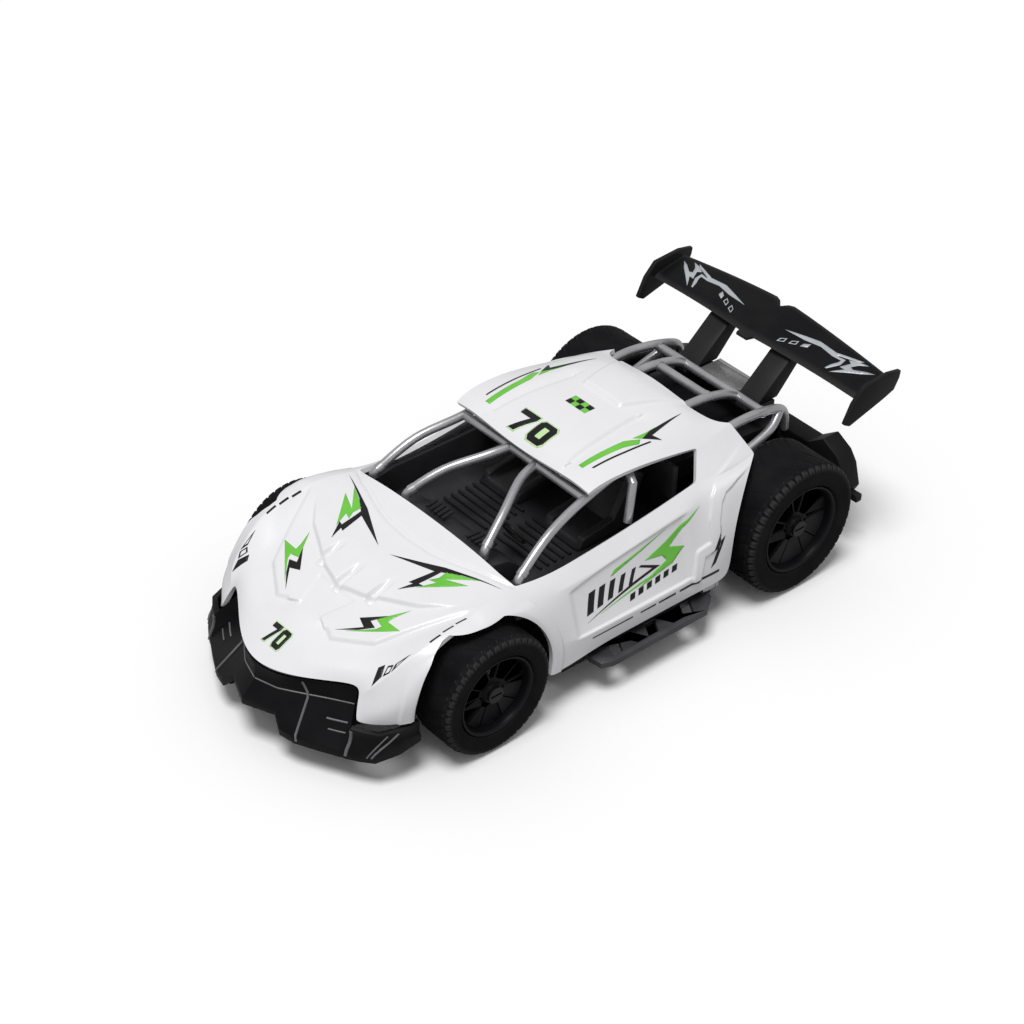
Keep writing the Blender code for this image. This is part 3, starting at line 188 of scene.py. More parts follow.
def worn_and_glinting_edges(tree, colour, amount):
    """Mixes a paler tone in where the surface turns outwards sharply; on the tyres it is a painted
    highlight along the tread shoulders.
    """
    geometry = tree.nodes.new("ShaderNodeNewGeometry")
    edge = span_node(tree, geometry.outputs["Pointiness"], 0.52, 0.60, 0.0, amount)
    mix = tree.nodes.new("ShaderNodeMix")
    mix.data_type = "RGBA"
    mix.inputs["B"].default_value = WEAR_AND_GLINT_TONE
    tree.links.new(edge, mix.inputs["Factor"])
    tree.links.new(colour, mix.inputs["A"])
    return mix.outputs["Result"]


def make_material(name):
    """Moulded or metal finish: mottled colour, uneven gloss and a fine grain."""
    first, second, roughness, metallic = COLOURS[name]
    grain_mm, height_mm, coat = GRAIN.get(name, PLAIN_GRAIN)
    material = bpy.data.materials.new(name + "_look")
    material.use_nodes = True
    tree = material.node_tree
    shader = tree.nodes["Principled BSDF"]
    coords = tree.nodes.new("ShaderNodeTexCoord").outputs["Object"]
    cloud = noise_node(tree, coords, CLOUD_MM)
    fine = noise_node(tree, coords, grain_mm, 4.0)
    colour = ramp(tree, cloud, 0.35, 0.65, first, second)
    # paler sharp edges: a painted highlight on the tyres' tread shoulders
    if name in EDGE_WEAR_AND_GLINT:
        colour = worn_and_glinting_edges(tree, colour, EDGE_WEAR_AND_GLINT[name])
    tree.links.new(colour, shader.inputs["Base Color"])
    gloss = span_node(tree, fine, 0.3, 0.7, roughness - 0.05, roughness + 0.07)
    tree.links.new(gloss, shader.inputs["Roughness"])
    bump = node(tree, "ShaderNodeBump", Strength=1.0, Distance=height_mm * MM)
    tree.links.new(fine, bump.inputs["Height"])
    tree.links.new(bump.outputs["Normal"], shader.inputs["Normal"])
    shader.inputs["Metallic"].default_value = metallic
    shader.inputs["Specular IOR Level"].default_value = SHEEN.get(name, PLAIN_SHEEN)
    shader.inputs["Coat Weight"].default_value = coat
    shader.inputs["Coat Roughness"].default_value = COAT_ROUGHNESS
    return material


MATERIALS = {name: make_material(name) for name in COLOURS}


# ---- pieces ----------------------------------------------------------------------------
LOOKS = bpy.data.collections.new("looks")
bpy.context.scene.collection.children.link(LOOKS)


def link(name, data):
    obj = bpy.data.objects.new(name, data)
    LOOKS.objects.link(obj)
    return obj


def baked(obj):
    """The evaluated mesh of obj; obj itself is removed."""
    graph = bpy.context.evaluated_depsgraph_get()
    mesh = bpy.data.meshes.new_from_object(obj.evaluated_get(graph))
    mesh.transform(obj.matrix_world)
    bpy.data.objects.remove(obj, do_unlink=True)
    return mesh


def piece(name, mesh, body, slot, replaces=(), sharp=35, placed=False):
    """A mesh in car millimetres as a finished piece that rides on body."""
    if not placed:
        mesh.transform(PLACE)
    mesh.materials.clear()
    mesh.materials.append(MATERIALS[slot])
    mesh.shade_smooth()
    if sharp:
        mesh.set_sharp_from_angle(angle=math.radians(sharp))
    obj = link(name, mesh)
    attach(obj, body)
    if replaces:
        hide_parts(*replaces)
    return obj


def mirrored(mesh):
    copy = mesh.copy()
    copy.transform(Matrix.Scale(-1, 4, (1, 0, 0)))
    copy.flip_normals()
    return copy


def joined(meshes):
    bm = bmesh.new()
    for mesh in meshes:
        bm.from_mesh(mesh)
    mesh = bpy.data.meshes.new("joined")
    bm.to_mesh(mesh)
    bm.free()
    return mesh


def both(mesh):
    return joined([mesh, mirrored(mesh)])


def from_bmesh(bm):
    bmesh.ops.recalc_face_normals(bm, faces=bm.faces)
    mesh = bpy.data.meshes.new("made")
    bm.to_mesh(mesh)
    bm.free()
    return mesh


def soften(name, look=None):
    """A CAD node's own shape with its moulded edges rounded; it stands for the node."""
    source = frame["nodes"][name]
    bm = bmesh.new()
    bm.from_mesh(source.data)
    bmesh.ops.remove_doubles(bm, verts=bm.verts, dist=1e-6)
    bmesh.ops.dissolve_limit(bm, angle_limit=math.radians(1.0), verts=bm.verts, edges=bm.edges)
    mesh = bpy.data.meshes.new(name)
    bm.to_mesh(mesh)
    bm.free()
    obj = link("bevelled", mesh)
    bevel = obj.modifiers.new("Bevel", "BEVEL")
    bevel.width = SOFT_EDGE * MM
    bevel.segments = 2
    bevel.limit_method = "ANGLE"
    bevel.angle_limit = math.radians(SOFT_ANGLE)
    bevel.use_clamp_overlap = True
    look = look or source.data.materials[0].name
    return piece(name + "_moulded", baked(obj), source["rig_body"], look, (name,), placed=True)


AXIS_TURN = {"X": Matrix.Rotation(math.pi / 2, 4, "Y"), "Y": Matrix.Rotation(-math.pi / 2, 4, "X")}


def rod(axis, a0, a1, across, r, sides=24, r_end=None):
    bm = bmesh.new()
    bmesh.ops.create_cone(bm, cap_ends=True, segments=sides, radius1=r,
                          radius2=r if r_end is None else r_end, depth=a1 - a0)
    bm.transform(AXIS_TURN[axis])
    place = list(across)
    place.insert("XYZ".index(axis), (a0 + a1) / 2)
    bmesh.ops.translate(bm, vec=place, verts=bm.verts)
    return from_bmesh(bm)


PLANES = {"XY": Matrix.Identity(4),
          "YZ": Matrix(((0, 0, 1, 0), (1, 0, 0, 0), (0, 1, 0, 0), (0, 0, 0, 1)))}


def outline_curve(outlines):
    """Filled 2D curve; every outline after the first is a hole in it."""
    curve = bpy.data.curves.new("outline", "CURVE")
    curve.dimensions = "2D"
    curve.fill_mode = "BOTH"
    for outline in outlines:
        spline = curve.splines.new("POLY")
        spline.points.add(len(outline) - 1)
        for point, (u, v) in zip(spline.points, outline):
            point.co = (u, v, 0.0, 1.0)
        spline.use_cyclic_u = True
    return curve


def welded(mesh):
    bm = bmesh.new()
    bm.from_mesh(mesh)
    bmesh.ops.remove_doubles(bm, verts=bm.verts, dist=WELD)
    return bm


def plate(plane, outlines, low, high, bevel=0.0):
    """Flat outline (the others are holes in it) from low to high, edges rounded by bevel."""
    curve = outline_curve(outlines)
    curve.extrude = (high - low) / 2 - bevel
    curve.bevel_depth = bevel
    curve.bevel_resolution = 1
    curve.offset = -bevel
    mesh = baked(link("outline", curve))
    mesh.transform(PLANES[plane] @ Matrix.Translation((0, 0, (low + high) / 2)))
    return from_bmesh(welded(mesh))


def eased(points, steps=6):
    """Catmull-Rom curve through the points, so that bars bend smoothly."""
    ends = [2 * Vector(points[0]) - Vector(points[1])] + [Vector(p) for p in points]
    ends.append(2 * Vector(points[-1]) - Vector(points[-2]))
    out = []
    for a, b, c, d in zip(ends, ends[1:], ends[2:], ends[3:]):
        for i in range(steps):
            t = i / steps
            out.append(0.5 * (2 * b + (c - a) * t + (2 * a - 5 * b + 4 * c - d) * t * t
                              + (3 * b - a - 3 * c + d) * t ** 3))
    return out + [Vector(points[-1])]


def tube(points, radius, sides=20, smooth=True):
    curve = bpy.data.curves.new("tube", "CURVE")
    curve.dimensions = "3D"
    curve.bevel_depth = radius
    curve.bevel_resolution = sides // 2 - 2
    curve.use_fill_caps = True
    path = eased(points) if smooth else points
    spline = curve.splines.new("POLY")
    spline.points.add(len(path) - 1)
    for point, co in zip(spline.points, path):
        point.co = (*co, 1.0)
    return baked(link("tube", curve))


def around(rings):
    """Closed surface through rings of points that lie one behind the other in a circle."""
    count, turns = len(rings[0]), len(rings)
    faces = [(i * count + k, i * count + (k + 1) % count,
              (i + 1) % turns * count + (k + 1) % count, (i + 1) % turns * count + k)
             for i in range(turns) for k in range(count)]
    mesh = bpy.data.meshes.new("turned")
    mesh.from_pydata([spot for spots in rings for spot in spots], [], faces)
    bm = bmesh.new()
    bm.from_mesh(mesh)
    return from_bmesh(bm)


def turned(profile, middle, sides=96):
    """A closed (offset along X, radius) profile turned about a line parallel to X."""
    rings = []
    for i in range(sides):
        angle = 2 * math.pi * i / sides
        rings.append([(middle[0] + offset, middle[1] + radius * math.cos(angle),
                       middle[2] + radius * math.sin(angle)) for offset, radius in profile])
    return around(rings)


# ---- body shell ------------------------------------------------------------------------
def door_y(share):
    """A point along the door opening, 0 at the cowl and 1 ahead of the rear wheel arch."""
    return COWL_Y + share * (WHEELBASE - 33.0 - COWL_Y)


def bonnet_rows():
    """Cage rows of the bonnet, centre line out to the sill, nose to cowl."""
    w, nose = BODY_HALF_W, NOSE_Y
    return [
        [(0, nose, 28.5), (11.8, nose + 3.9, 28.9), (22.3, nose + 11, 30),
         (w - 18.8, nose + 16.7, 31.5), (w - 17.6, nose + 15.5, 28.5), (w - 16.8, nose + 14.3, 26),
         (w - 16.2, nose + 13.5, 23.8), (w - 15.6, nose + 12.9, 22), (w - 15, nose + 12.9, 20.8)],
        [(0, nose + 10.5, 34.5), (12, nose + 11.5, 34.6), (23, nose + 14.5, 34.6),
         (32.5, nose + 20, 34.5), (36.3, nose + 17.8, 33), (w - 11.6, nose + 17.6, 29.8),
         (w - 8.6, nose + 17.2, 26), (w - 8.5, nose + 17.5, 23), (w - 8.8, nose + 17.8, 21)],
        [(0, nose + 21.5, 38.2), (12.5, nose + 22, 37.9), (23.5, nose + 23.5, 37.2),
         (33.5, nose + 26, 38), (w - 11.2, nose + 25, 38.5), (w - 7.6, nose + 25, 35.2),
         (w - 4.5, nose + 25, 30.5), (w - 4.5, nose + 25, 25.5), (w - 5, nose + 25, 21)],
        [(0, -20, 41.8), (12.5, -20, 41.6), (24, -20, 41), (34, -20, 42.2),
         (w - 8.8, -20, 43.5), (w - 4.3, -20, 41.5), (w - 2.3, -20, 37), (w - 2.3, -20, 29),
         (w - 2.8, -20, 21)],
        [(0, -8, 45.2), (12.5, -8, 44.9), (24, -8, 44.4), (34, -8, 45.2),
         (w - 8.3, -8, 47.2), (w - 3.8, -8, 46.2), (w - 1, -8, 43.5), (w - 0.5, -8, 33),
         (w - 0.5, -8, 20)],
        [(0, 4, 47.2), (12.5, 4, 47), (24, 4, 46.6), (33.5, 4, 47), (w - 8.8, 4, 47.9),
         (w - 4, 4, 47), (w - 0.8, 4, 44.2), (w - 0.2, 4, 33), (w - 0.2, 4, 19)],
        [(0, COWL_Y, 49), (12.5, COWL_Y, 48.8), (24, COWL_Y - 0.2, 48.3),
         (32.5, COWL_Y - 0.6, 47.6), (w - 11.5, COWL_Y + 0.8, 46.2), (w - 6.3, COWL_Y, 44.4),
         (w - 1.8, COWL_Y, 40.5), (w, COWL_Y, 31), (w, COWL_Y, 17)],
    ]


def flank_rows():
    """Cage rows of the door and rear quarter, belt line down to the sill."""
    w, sill = BODY_HALF_W, SILL_Z
    arch = WHEELBASE - REAR_ARCH_REACH
    return [
        [(w - 10.6, door_y(0.16), 44.8), (w - 5.6, door_y(0.15), 41.2),
         (w - 2.6, door_y(0.15), 33), (w - 0.1, door_y(0.15), 24),
         (w - 0.2, door_y(0.13), sill - 2.6)],
        [(w - 10.8, door_y(0.37), 45.8), (w - 6.3, door_y(0.35), 40.6),
         (w - 3.7, door_y(0.33), 31.6), (w + 0.2, door_y(0.33), 23.6),
         (w - 0.2, door_y(0.33), sill)],
        [(w - 10.6, door_y(0.54), 47.3), (w - 6.3, door_y(0.52), 42.6),
         (w - 3.5, door_y(0.51), 31.6), (w + 0.2, door_y(0.51), 23.3),
         (w - 0.2, door_y(0.51), sill)],
        [(w - 10.4, door_y(0.74), 49.6), (w - 6.3, door_y(0.72), 45),
         (w - 3.4, door_y(0.69), 31.8), (w + 0.2, door_y(0.69), 23.1),
         (w - 0.2, door_y(0.69), sill)],
        [(w - 10.3, arch - 9.9, 52.5), (w - 6, arch - 10.9, 48.2),
         (w - 3.2, door_y(0.87), 32.4), (w + 0.2, door_y(0.87), 23),
         (w - 0.2, door_y(0.87), sill)],
        [(w - 9.2, arch - 1.4, 51.8), (w - 4.6, arch - 5.9, 49.8), (w - 0.9, arch - 9.4, 35),
         (w + 0.4, arch - 9.4, 23.2), (w, arch - 9.4, sill)],
        [(w - 9.6, arch + 6.1, 51.2), (w - 3.8, arch - 1.4, 49.2), (w - 0.3, arch - 5.4, 36.5),
         (w + 0.3, arch - 4.9, 24), (w, arch - 5.4, sill + 0.2)],
        [(w - 12, arch + 18.2, 50.4), (w - 6, arch + 9.6, 48.9), (w - 0.4, arch, 38.4),
         (w, arch - 1, 26), (w - 0.2, arch - 1.4, sill + 1)],
    ]


def roof_rows():
    """Cage rows of the roof, centre line out to the side windows, front to rear."""
    w, roof = BODY_HALF_W, ROOF_Z
    front, arch = COWL_Y + 34.4, WHEELBASE - REAR_ARCH_REACH
    return [
        [(0, front, roof - 5.9), (12.5, front + 0.2, roof - 5.3),
         (w - 25.8, front + 0.7, roof - 4.7), (w - 18, front + 1.2, roof - 6)],
        [(0, front + 6.5, roof - 1.4), (13, front + 6.5, roof - 1.6),
         (w - 24.3, front + 6.5, roof - 2.6), (w - 17.4, front + 6.2, roof - 3.6)],
        [(0, front + 23, roof + 0.3), (14, front + 23, roof + 0.1),
         (w - 23.8, front + 23, roof - 1.6), (w - 16.8, front + 23, roof - 3.5)],
        [(0, arch - 3.4, roof - 0.8), (14.5, arch - 3.4, roof - 1.3),
         (w - 23.8, arch - 3.4, roof - 3.8), (w - 17.4, arch - 3.4, roof - 8.6)],
        [(0, arch + 2.1, roof - 2), (14.5, arch + 2.6, roof - 2.6),
         (w - 24, arch + 4.6, roof - 6), (w - 19, arch + 6.1, roof - 9)],
        [(0, arch + 7.1, roof - 3.5), (14, arch + 6.2, roof - 4.4),
         (w - 24.4, arch + 10.1, roof - 8.2), (w - 22.2, arch + 16.4, roof - 10)],
    ]


def shell_cage():
    """Half the shell as an open sheet: bonnet, flank, rear pillar and roof."""
    bonnet, flank, top = bonnet_rows(), flank_rows(), roof_rows()
    bm = bmesh.new()

    def add_row(row):
        return [bm.verts.new(p) for p in row]

    def skin(rows):
        for a, b in zip(rows, rows[1:]):
            for i in range(len(a) - 1):
                bm.faces.new((a[i], a[i + 1], b[i + 1], b[i]))

    rows = [add_row(row) for row in bonnet]
    skin(rows)
    sides = [rows[-1][4:]] + [add_row(row) for row in flank]
    skin(sides)
    roof = [add_row(row) for row in top]
    skin(roof)
    bm.faces.new((roof[3][3], sides[5][0], sides[6][0]))
    bm.faces.new((roof[3][3], sides[6][0], sides[7][0], roof[4][3]))
    bm.faces.new((roof[4][3], sides[7][0], sides[8][0], roof[5][3]))
    crease = bm.edges.layers.float.new("crease_edge")
    creased = [(row[4], rows[i + 1][4]) for i, row in enumerate(rows[:-1])]
    creased += [(a[0], b[0]) for a, b in zip(sides, sides[1:])]
    creased += [(a[3], b[3]) for a, b in zip(roof, roof[1:])]
    creased += [(rows[0][i], rows[0][i + 1]) for i in (2, 3)]
    creased += [(roof[0][2], roof[0][3]), (sides[8][0], roof[5][3])]
    door = list(zip(sides[1:5], sides[2:6]))    # the sunk panel between belt line and sill
    creased += [(a[i], b[i]) for i in (1, 3) for a, b in door]
    for a, b in creased:
        bm.edges.get((a, b))[crease] = CREASE
    return from_bmesh(bm)


def rise(values, low, high):
    """0 below low, 1 above high, eased between."""
    t = np.clip((values - low) / (high - low), 0, 1)
    return t * t * (3 - 2 * t)


def along(a, b, line):
    """Distance of points (a, b) to a broken line, and on which side of it they lie."""
    best = np.full(a.shape, 1e9)
    side = np.zeros(a.shape)
    for (a0, b0), (a1, b1) in zip(line, line[1:]):
        da, db = a1 - a0, b1 - b0
        t = np.clip(((a - a0) * da + (b - b0) * db) / (da * da + db * db), 0, 1)
        gap = np.hypot(a - a0 - t * da, b - b0 - t * db)
        closer = gap < best
        best = np.where(closer, gap, best)
        side = np.where(closer, np.sign(da * (b - b0) - db * (a - a0)), side)
    return best, side


PANEL_EDGE = ((0, -20.7), (9.5, -18.2), (17, -14.2), (26.3, -9.7), (32.8, -4.3), (38, 2))
PANEL_REAR = ((0, 6.7), (10, 7.4), (17, 9), (25.5, 12), (31.5, 13.8), (39, 17.5))
RIDGE_LINE = ((40.4, -0.4), (36.2, -8.4), (31.5, -17.1), (26, -27.1), (13.6, -34.8), (10, -33.4))
ROOF_LINE = ((18.4, 57.5), (17.2, 72), (15.4, 88))
FLANGE_LINE = ((117.5, 51.6), (107, 50.8), (99.8, 49.6), (96.6, 46.8), (94.6, 41), (94, 32.5),
               (88.5, 30.6), (86.2, 22.8))
FLANGE_HALF = 1.9
PANEL_RISE, SEAM_DEPTH, RIDGE_DEPTH = 1.45, 0.7, 1.15


def bonnet_relief(x, y):
    """Raised V-shaped panel with three slots, its rear seam and the ridges beside it."""
    edge = np.interp(x, *zip(*PANEL_EDGE))
    rear = np.interp(x, *zip(*PANEL_REAR))
    fade = 1 - rise(x, 28, 38)
    panel = PANEL_RISE * rise(y - edge, -0.6, 0.7) * (1 - 0.75 * rise(y, -12, 4)) * fade
    seam = -SEAM_DEPTH * np.exp(-((y - rear) / 0.8) ** 2) * (1 - rise(x, 36, 40))
    slots = np.zeros_like(x)
    for middle, start, end in ((0, -21.5, -8.3), (12.2, -18, -6.5)):
        inside = 1 - rise(np.abs(x - middle), 0.7, 1.8)
        depth = PANEL_RISE * (1 - rise(y, start + 3, end)) * rise(y, start - 1.5, start)
        slots -= inside * depth
    crease = (1 - rise(x - 0.35 * (y + 33), 3.8, 5.0)) * rise(y, -34, -31) * (1 - rise(y, -22, -20))
    gap, side = along(x, y, RIDGE_LINE)
    outer = side > 0
    width = np.where(outer, 5.0, 0.9)
    ridge = -RIDGE_DEPTH * np.exp(-(gap / width) ** 2) * (1 - rise(y, -4, 1))
    return panel + seam + slots - 0.45 * crease + ridge


def roof_relief(x, y):
    """Two long soft grooves and the raised scoop that widens towards the rear."""
    gap, side = along(x, y, ROOF_LINE)
    width = np.where(side > 0, 0.9, 3.2)
    grooves = -0.95 * np.exp(-(gap / width) ** 2)
    flare = 8.5 + 0.3 * (y - 87)
    scoop = 1.25 * rise(y, 86.2, 87.6) * (1 - rise(x - flare, -0.6, 1.0))
    return grooves + scoop * (1 - 0.5 * rise(y, 92, 108))


def flank_relief(y, z):
    """Raised flange along the rear edge, the arch's lip and the sunk door panel."""
    gap, _ = along(y, z, FLANGE_LINE)
    flange = 0.75 * (1 - rise(gap, FLANGE_HALF - 0.5, FLANGE_HALF + 0.4)) * rise(y, 80, 84)
    radius = np.hypot(y + 1.2, z - FRONT_R)
    lip = 0.5 * rise(radius, 25, 27) * (1 - rise(radius, 29.6, 30.6))
    door = -0.7 * rise(z, 23.6, 24.4) * (1 - rise(z - 0.141 * (y - 30), 37.6, 38.6))
    door *= rise(y, 34, 37) * (1 - rise(y, 82, 86))
    return flange + lip + door


def shell_surface():
    """The shell's outer skin with its reliefs, as an open mesh in car millimetres."""
    obj = link("skin", shell_cage())
    mirror = obj.modifiers.new("Mirror", "MIRROR")
    mirror.use_clip = True
    mirror.merge_threshold = 1e-3
    smooth = obj.modifiers.new("Subdivision", "SUBSURF")
    smooth.levels = smooth.render_levels = DETAIL
    mesh = baked(obj)
    count = len(mesh.vertices)
    co = np.empty(count * 3)
    normal = np.empty(count * 3)
    mesh.vertices.foreach_get("co", co)
    mesh.vertex_normals.foreach_get("vector", normal)
    co, normal = co.reshape(-1, 3), normal.reshape(-1, 3)
    x, y, z = np.abs(co[:, 0]), co[:, 1], co[:, 2]
    up = rise(normal[:, 2], 0.45, 0.7)
    out = rise(np.abs(normal[:, 0]), 0.5, 0.75)
    depth = np.where(y < COWL_Y + 1, up * bonnet_relief(x, y), up * roof_relief(x, y))
    depth = depth + out * flank_relief(y, z)
    co += normal * depth[:, None]
    mesh.vertices.foreach_set("co", co.ravel())
    mesh.update()
    return mesh


ARCH_SHIFT, ARCH_BULGE, ARCH_TRIM = 1.2, 1.6, 1.4   # forward, wider in front, flatter on top


def arch_cutter(y, z, radius):
    outline = []
    for i in range(61):
        angle = math.radians(-20 + i * 220 / 60)
        reach = radius + (ARCH_BULGE if math.cos(angle) < 0 else 0) * abs(math.sin(2 * angle))
        height = z + min(reach * math.sin(angle), radius - ARCH_TRIM)
        outline.append((y - ARCH_SHIFT + reach * math.cos(angle), height))
    return both(plate("YZ", [outline], BODY_HALF_W - 7, 80))


def make_shell(skin):
    obj = link("shell", skin.copy())
    wall = obj.modifiers.new("Solidify", "SOLIDIFY")
    wall.thickness = SHELL_T
    wall.offset = -1.0
    wall.use_even_offset = False
    tool = link("arches", arch_cutter(0.0, FRONT_R, FRONT_R + ARCH_GAP))
    arch = obj.modifiers.new("Arches", "BOOLEAN")
    arch.solver = "EXACT"
    arch.object = tool
    mesh = baked(obj)
    bpy.data.objects.remove(tool, do_unlink=True)
    piece("body_shell_painted", mesh, "chassis", "shell_white", ("body_shell",), sharp=40)


# ---- printed marks ---------------------------------------------------------------------
def surface_tree(mesh):
    bm = bmesh.new()
    bm.from_mesh(mesh)
    tree = BVHTree.FromBMesh(bm)
    bm.free()
    return tree


def filled(outlines):
    """Flat triangulated polygons with edges short enough to follow the shell."""
    bm = welded(baked(link("print", outline_curve(outlines))))
    for _ in range(5):
        long = [e for e in bm.edges if e.calc_length() > PRINT_EDGE]
        if not long:
            break
        bmesh.ops.subdivide_edges(bm, edges=long, cuts=1)
        bmesh.ops.triangulate(bm, faces=[f for f in bm.faces if len(f.verts) > 3])
    return bm


def sticker(outlines, tree, view, lift=PRINT_LIFT):
    """Prints outlines on the surface, seen from above ("top") or the left side ("side")."""
    bm = filled(outlines)
    lost = []
    for vert in bm.verts:
        u, v = vert.co.x, vert.co.y
        if view == "top":
            start, heading = Vector((u, v, 120)), Vector((0, 0, -1))
        else:
            start, heading = Vector((90, u, v)), Vector((-1, 0, 0))
        spot, normal, _, _ = tree.ray_cast(start, heading)
        if spot is None:
            lost.append(vert)
            continue
        if normal.dot(heading) > 0:
            normal.negate()
        vert.co = spot + normal * lift
    bmesh.ops.delete(bm, geom=lost, context="VERTS")
    mesh = bpy.data.meshes.new("sticker")
    bm.to_mesh(mesh)
    bm.free()
    facing = Vector((0, 0, 1)) if view == "top" else Vector((1, 0, 0))
    if sum((p.normal.dot(facing) * p.area for p in mesh.polygons), 0.0) < 0:
        mesh.flip_normals()
    obj = link("sticker", mesh)
    film = obj.modifiers.new("Solidify", "SOLIDIFY")
    film.thickness = STICKER_T
    film.offset = 1.0
    return baked(obj)


def mapped(points, origin, across, down):
    """Points given in a mark's own (u, v) frame, placed on the surface's plan."""
    return [(origin[0] + u * across[0] + v * down[0], origin[1] + u * across[1] + v * down[1])
            for u, v in points]


BIG_BOLT_BLACK = ((0, 0), (0.50, 0.37), (1, 0.914), (0.64, 0.59), (0.46, 0.50), (0.26, 0.84),
                  (0.30, 0.90), (0.073, 1.0), (0.21, 0.84), (0.17, 0.80), (0.40, 0.47))
BIG_BOLT_GREEN = ((0.51, 0.50), (0.66, 0.62), (0.80, 0.74), (0.49, 0.70), (0.70, 0.90),
                  (0.24, 0.95), (0.35, 0.86), (0.42, 0.80), (0.35, 0.72), (0.44, 0.66))
SMALL_BOLT_BLACK = ((0, 0), (0.38, -0.16), (0.32, -0.60), (0.72, -0.72), (0.47, -0.46),
                    (0.53, -0.14), (0.30, -0.02))
SMALL_BOLT_GREEN = ((0.72, -0.72), (1, -1), (0.78, -0.62), (0.70, -0.42), (0.865, 0.055),
                    (0.14, 0.04), (0.55, -0.08), (0.62, -0.20), (0.55, -0.54))
BIG_BOLT_FRAME = ((2.9, -2.5), (23.95, 24.44), (11.76, -9.68))
SMALL_BOLT_FRAME = ((12.4, -31.3), (18.48, 14.19), (5.78, -4.91))
SEVEN = ((0, 1), (1, 1), (1, 0.78), (0.50, 0), (0.16, 0), (0.66, 0.74), (0, 0.74))
ZERO = ((0.16, 0), (0.84, 0), (1, 0.16), (1, 0.84), (0.84, 1), (0.16, 1), (0, 0.84), (0, 0.16))
ZERO_EYE = ((0.36, 0.24), (0.64, 0.24), (0.66, 0.27), (0.66, 0.73), (0.64, 0.76), (0.36, 0.76),
            (0.34, 0.73), (0.34, 0.27))


def number_marks(x, y, width, height):
    """Outlines of a plain 70 centred on (x, y), its digits' feet towards the nose."""
    gap = 0.10 * width
    digit = (width - gap) / 2

    def put(points, left):
        return [(left + u * digit, y + (v - 0.5) * height) for u, v in points]

    left = x - width / 2
    return [put(SEVEN, left)], [put(ZERO, left + digit + gap), put(ZERO_EYE, left + digit + gap)]


def grown(outline, amount):
    """The outline pushed outwards, for the pale rim behind a digit."""
    middle = Vector((sum(p[0] for p in outline), sum(p[1] for p in outline))) / len(outline)
    out = []
    for p in outline:
        away = Vector(p) - middle
        out.append(tuple(Vector(p) + Vector((math.copysign(amount, away.x),
                                             math.copysign(amount, away.y)))))
    return out


def ring(outline, share=0.62):
    middle = Vector((sum(p[0] for p in outline), sum(p[1] for p in outline))) / len(outline)
    return [outline, [tuple(middle + (Vector(p) - middle) * share) for p in outline]]


def bonnet_marks(tree):
    black, green, pale = [], [], []
    for dark, bright, place in ((BIG_BOLT_BLACK, BIG_BOLT_GREEN, BIG_BOLT_FRAME),
                                (SMALL_BOLT_BLACK, SMALL_BOLT_GREEN, SMALL_BOLT_FRAME)):
        black.append(both(sticker([mapped(dark, *place)], tree, "top")))
        green.append(both(sticker([mapped(bright, *place)], tree, "top")))
    bars = [[(35.1, -35.2), (32.9, -30.8), (34.1, -29.2), (36.0, -32.2)]]
    bars += ring([(36.3, -32.0), (35.2, -29.0), (36.6, -28.0), (37.5, -30.4)])
    bars += ring([(37.8, -30.0), (37.0, -27.6), (38.8, -23.2)], 0.5)
    black.append(both(sticker(bars, tree, "top")))
    dashes = []
    for start in (-17.5, -12.5, -7.5):
        dashes.append([(40.2, start), (40.9, start), (41.2, start + 3.8), (40.5, start + 3.8)])
    black.append(both(sticker(dashes, tree, "top")))
    for x, y, width, height in ((-0.3, -43.7, 8.2, 6.2), (-1.8, 59.0, 16.4, 8.6)):
        seven, zero = number_marks(x, y, width, height)
        black.append(sticker(seven, tree, "top", NUMBER_LIFT))
        black.append(sticker(zero, tree, "top", NUMBER_LIFT))
        rim = 0.055 * height
        pale.append(sticker([grown(seven[0], rim)], tree, "top"))
        pale.append(sticker([grown(zero[0], rim)], tree, "top"))
    return black, green, pale


def roof_marks(tree):
    band = [(21.4, 57.8), (23.4, 57.6), (24.4, 74), (25.6, 79.6), (24.2, 81.5), (22.2, 76)]
    tail = [(22.6, 79.5), (24.8, 83.4), (23.4, 86.0), (22.0, 90.0), (22.6, 85.0)]
    line = [(25.3, 59.8), (25.9, 60.0), (26.5, 73), (26.6, 84), (26.1, 84), (25.9, 73)]
    spike = [(24.2, 82.2), (27.2, 88.2), (24.4, 86.4), (20.2, 103.6), (22.6, 86.8)]
    green = [both(sticker([band], tree, "top")), both(sticker([tail], tree, "top"))]
    black = [both(sticker([shape], tree, "top", ROOF_LIFT)) for shape in (line, spike)]
    size = 2.3
    squares = ([], [])
    for row in range(2):
        for column in range(4):
            x = (column - 2) * size
            y = 75.2 + row * size
            square = [(x, y), (x + size, y), (x + size, y + size), (x, y + size)]
            squares[(row + column) % 2].append(square)
    black.append(sticker(squares[0], tree, "top"))
    green.append(sticker(squares[1], tree, "top"))
    return black, green


def slanted(y, z, width, height, lean):
    return [(y, z), (y + width, z + 0.12 * width), (y + width + lean, z + height + 0.12 * width),
            (y + lean, z + height)]


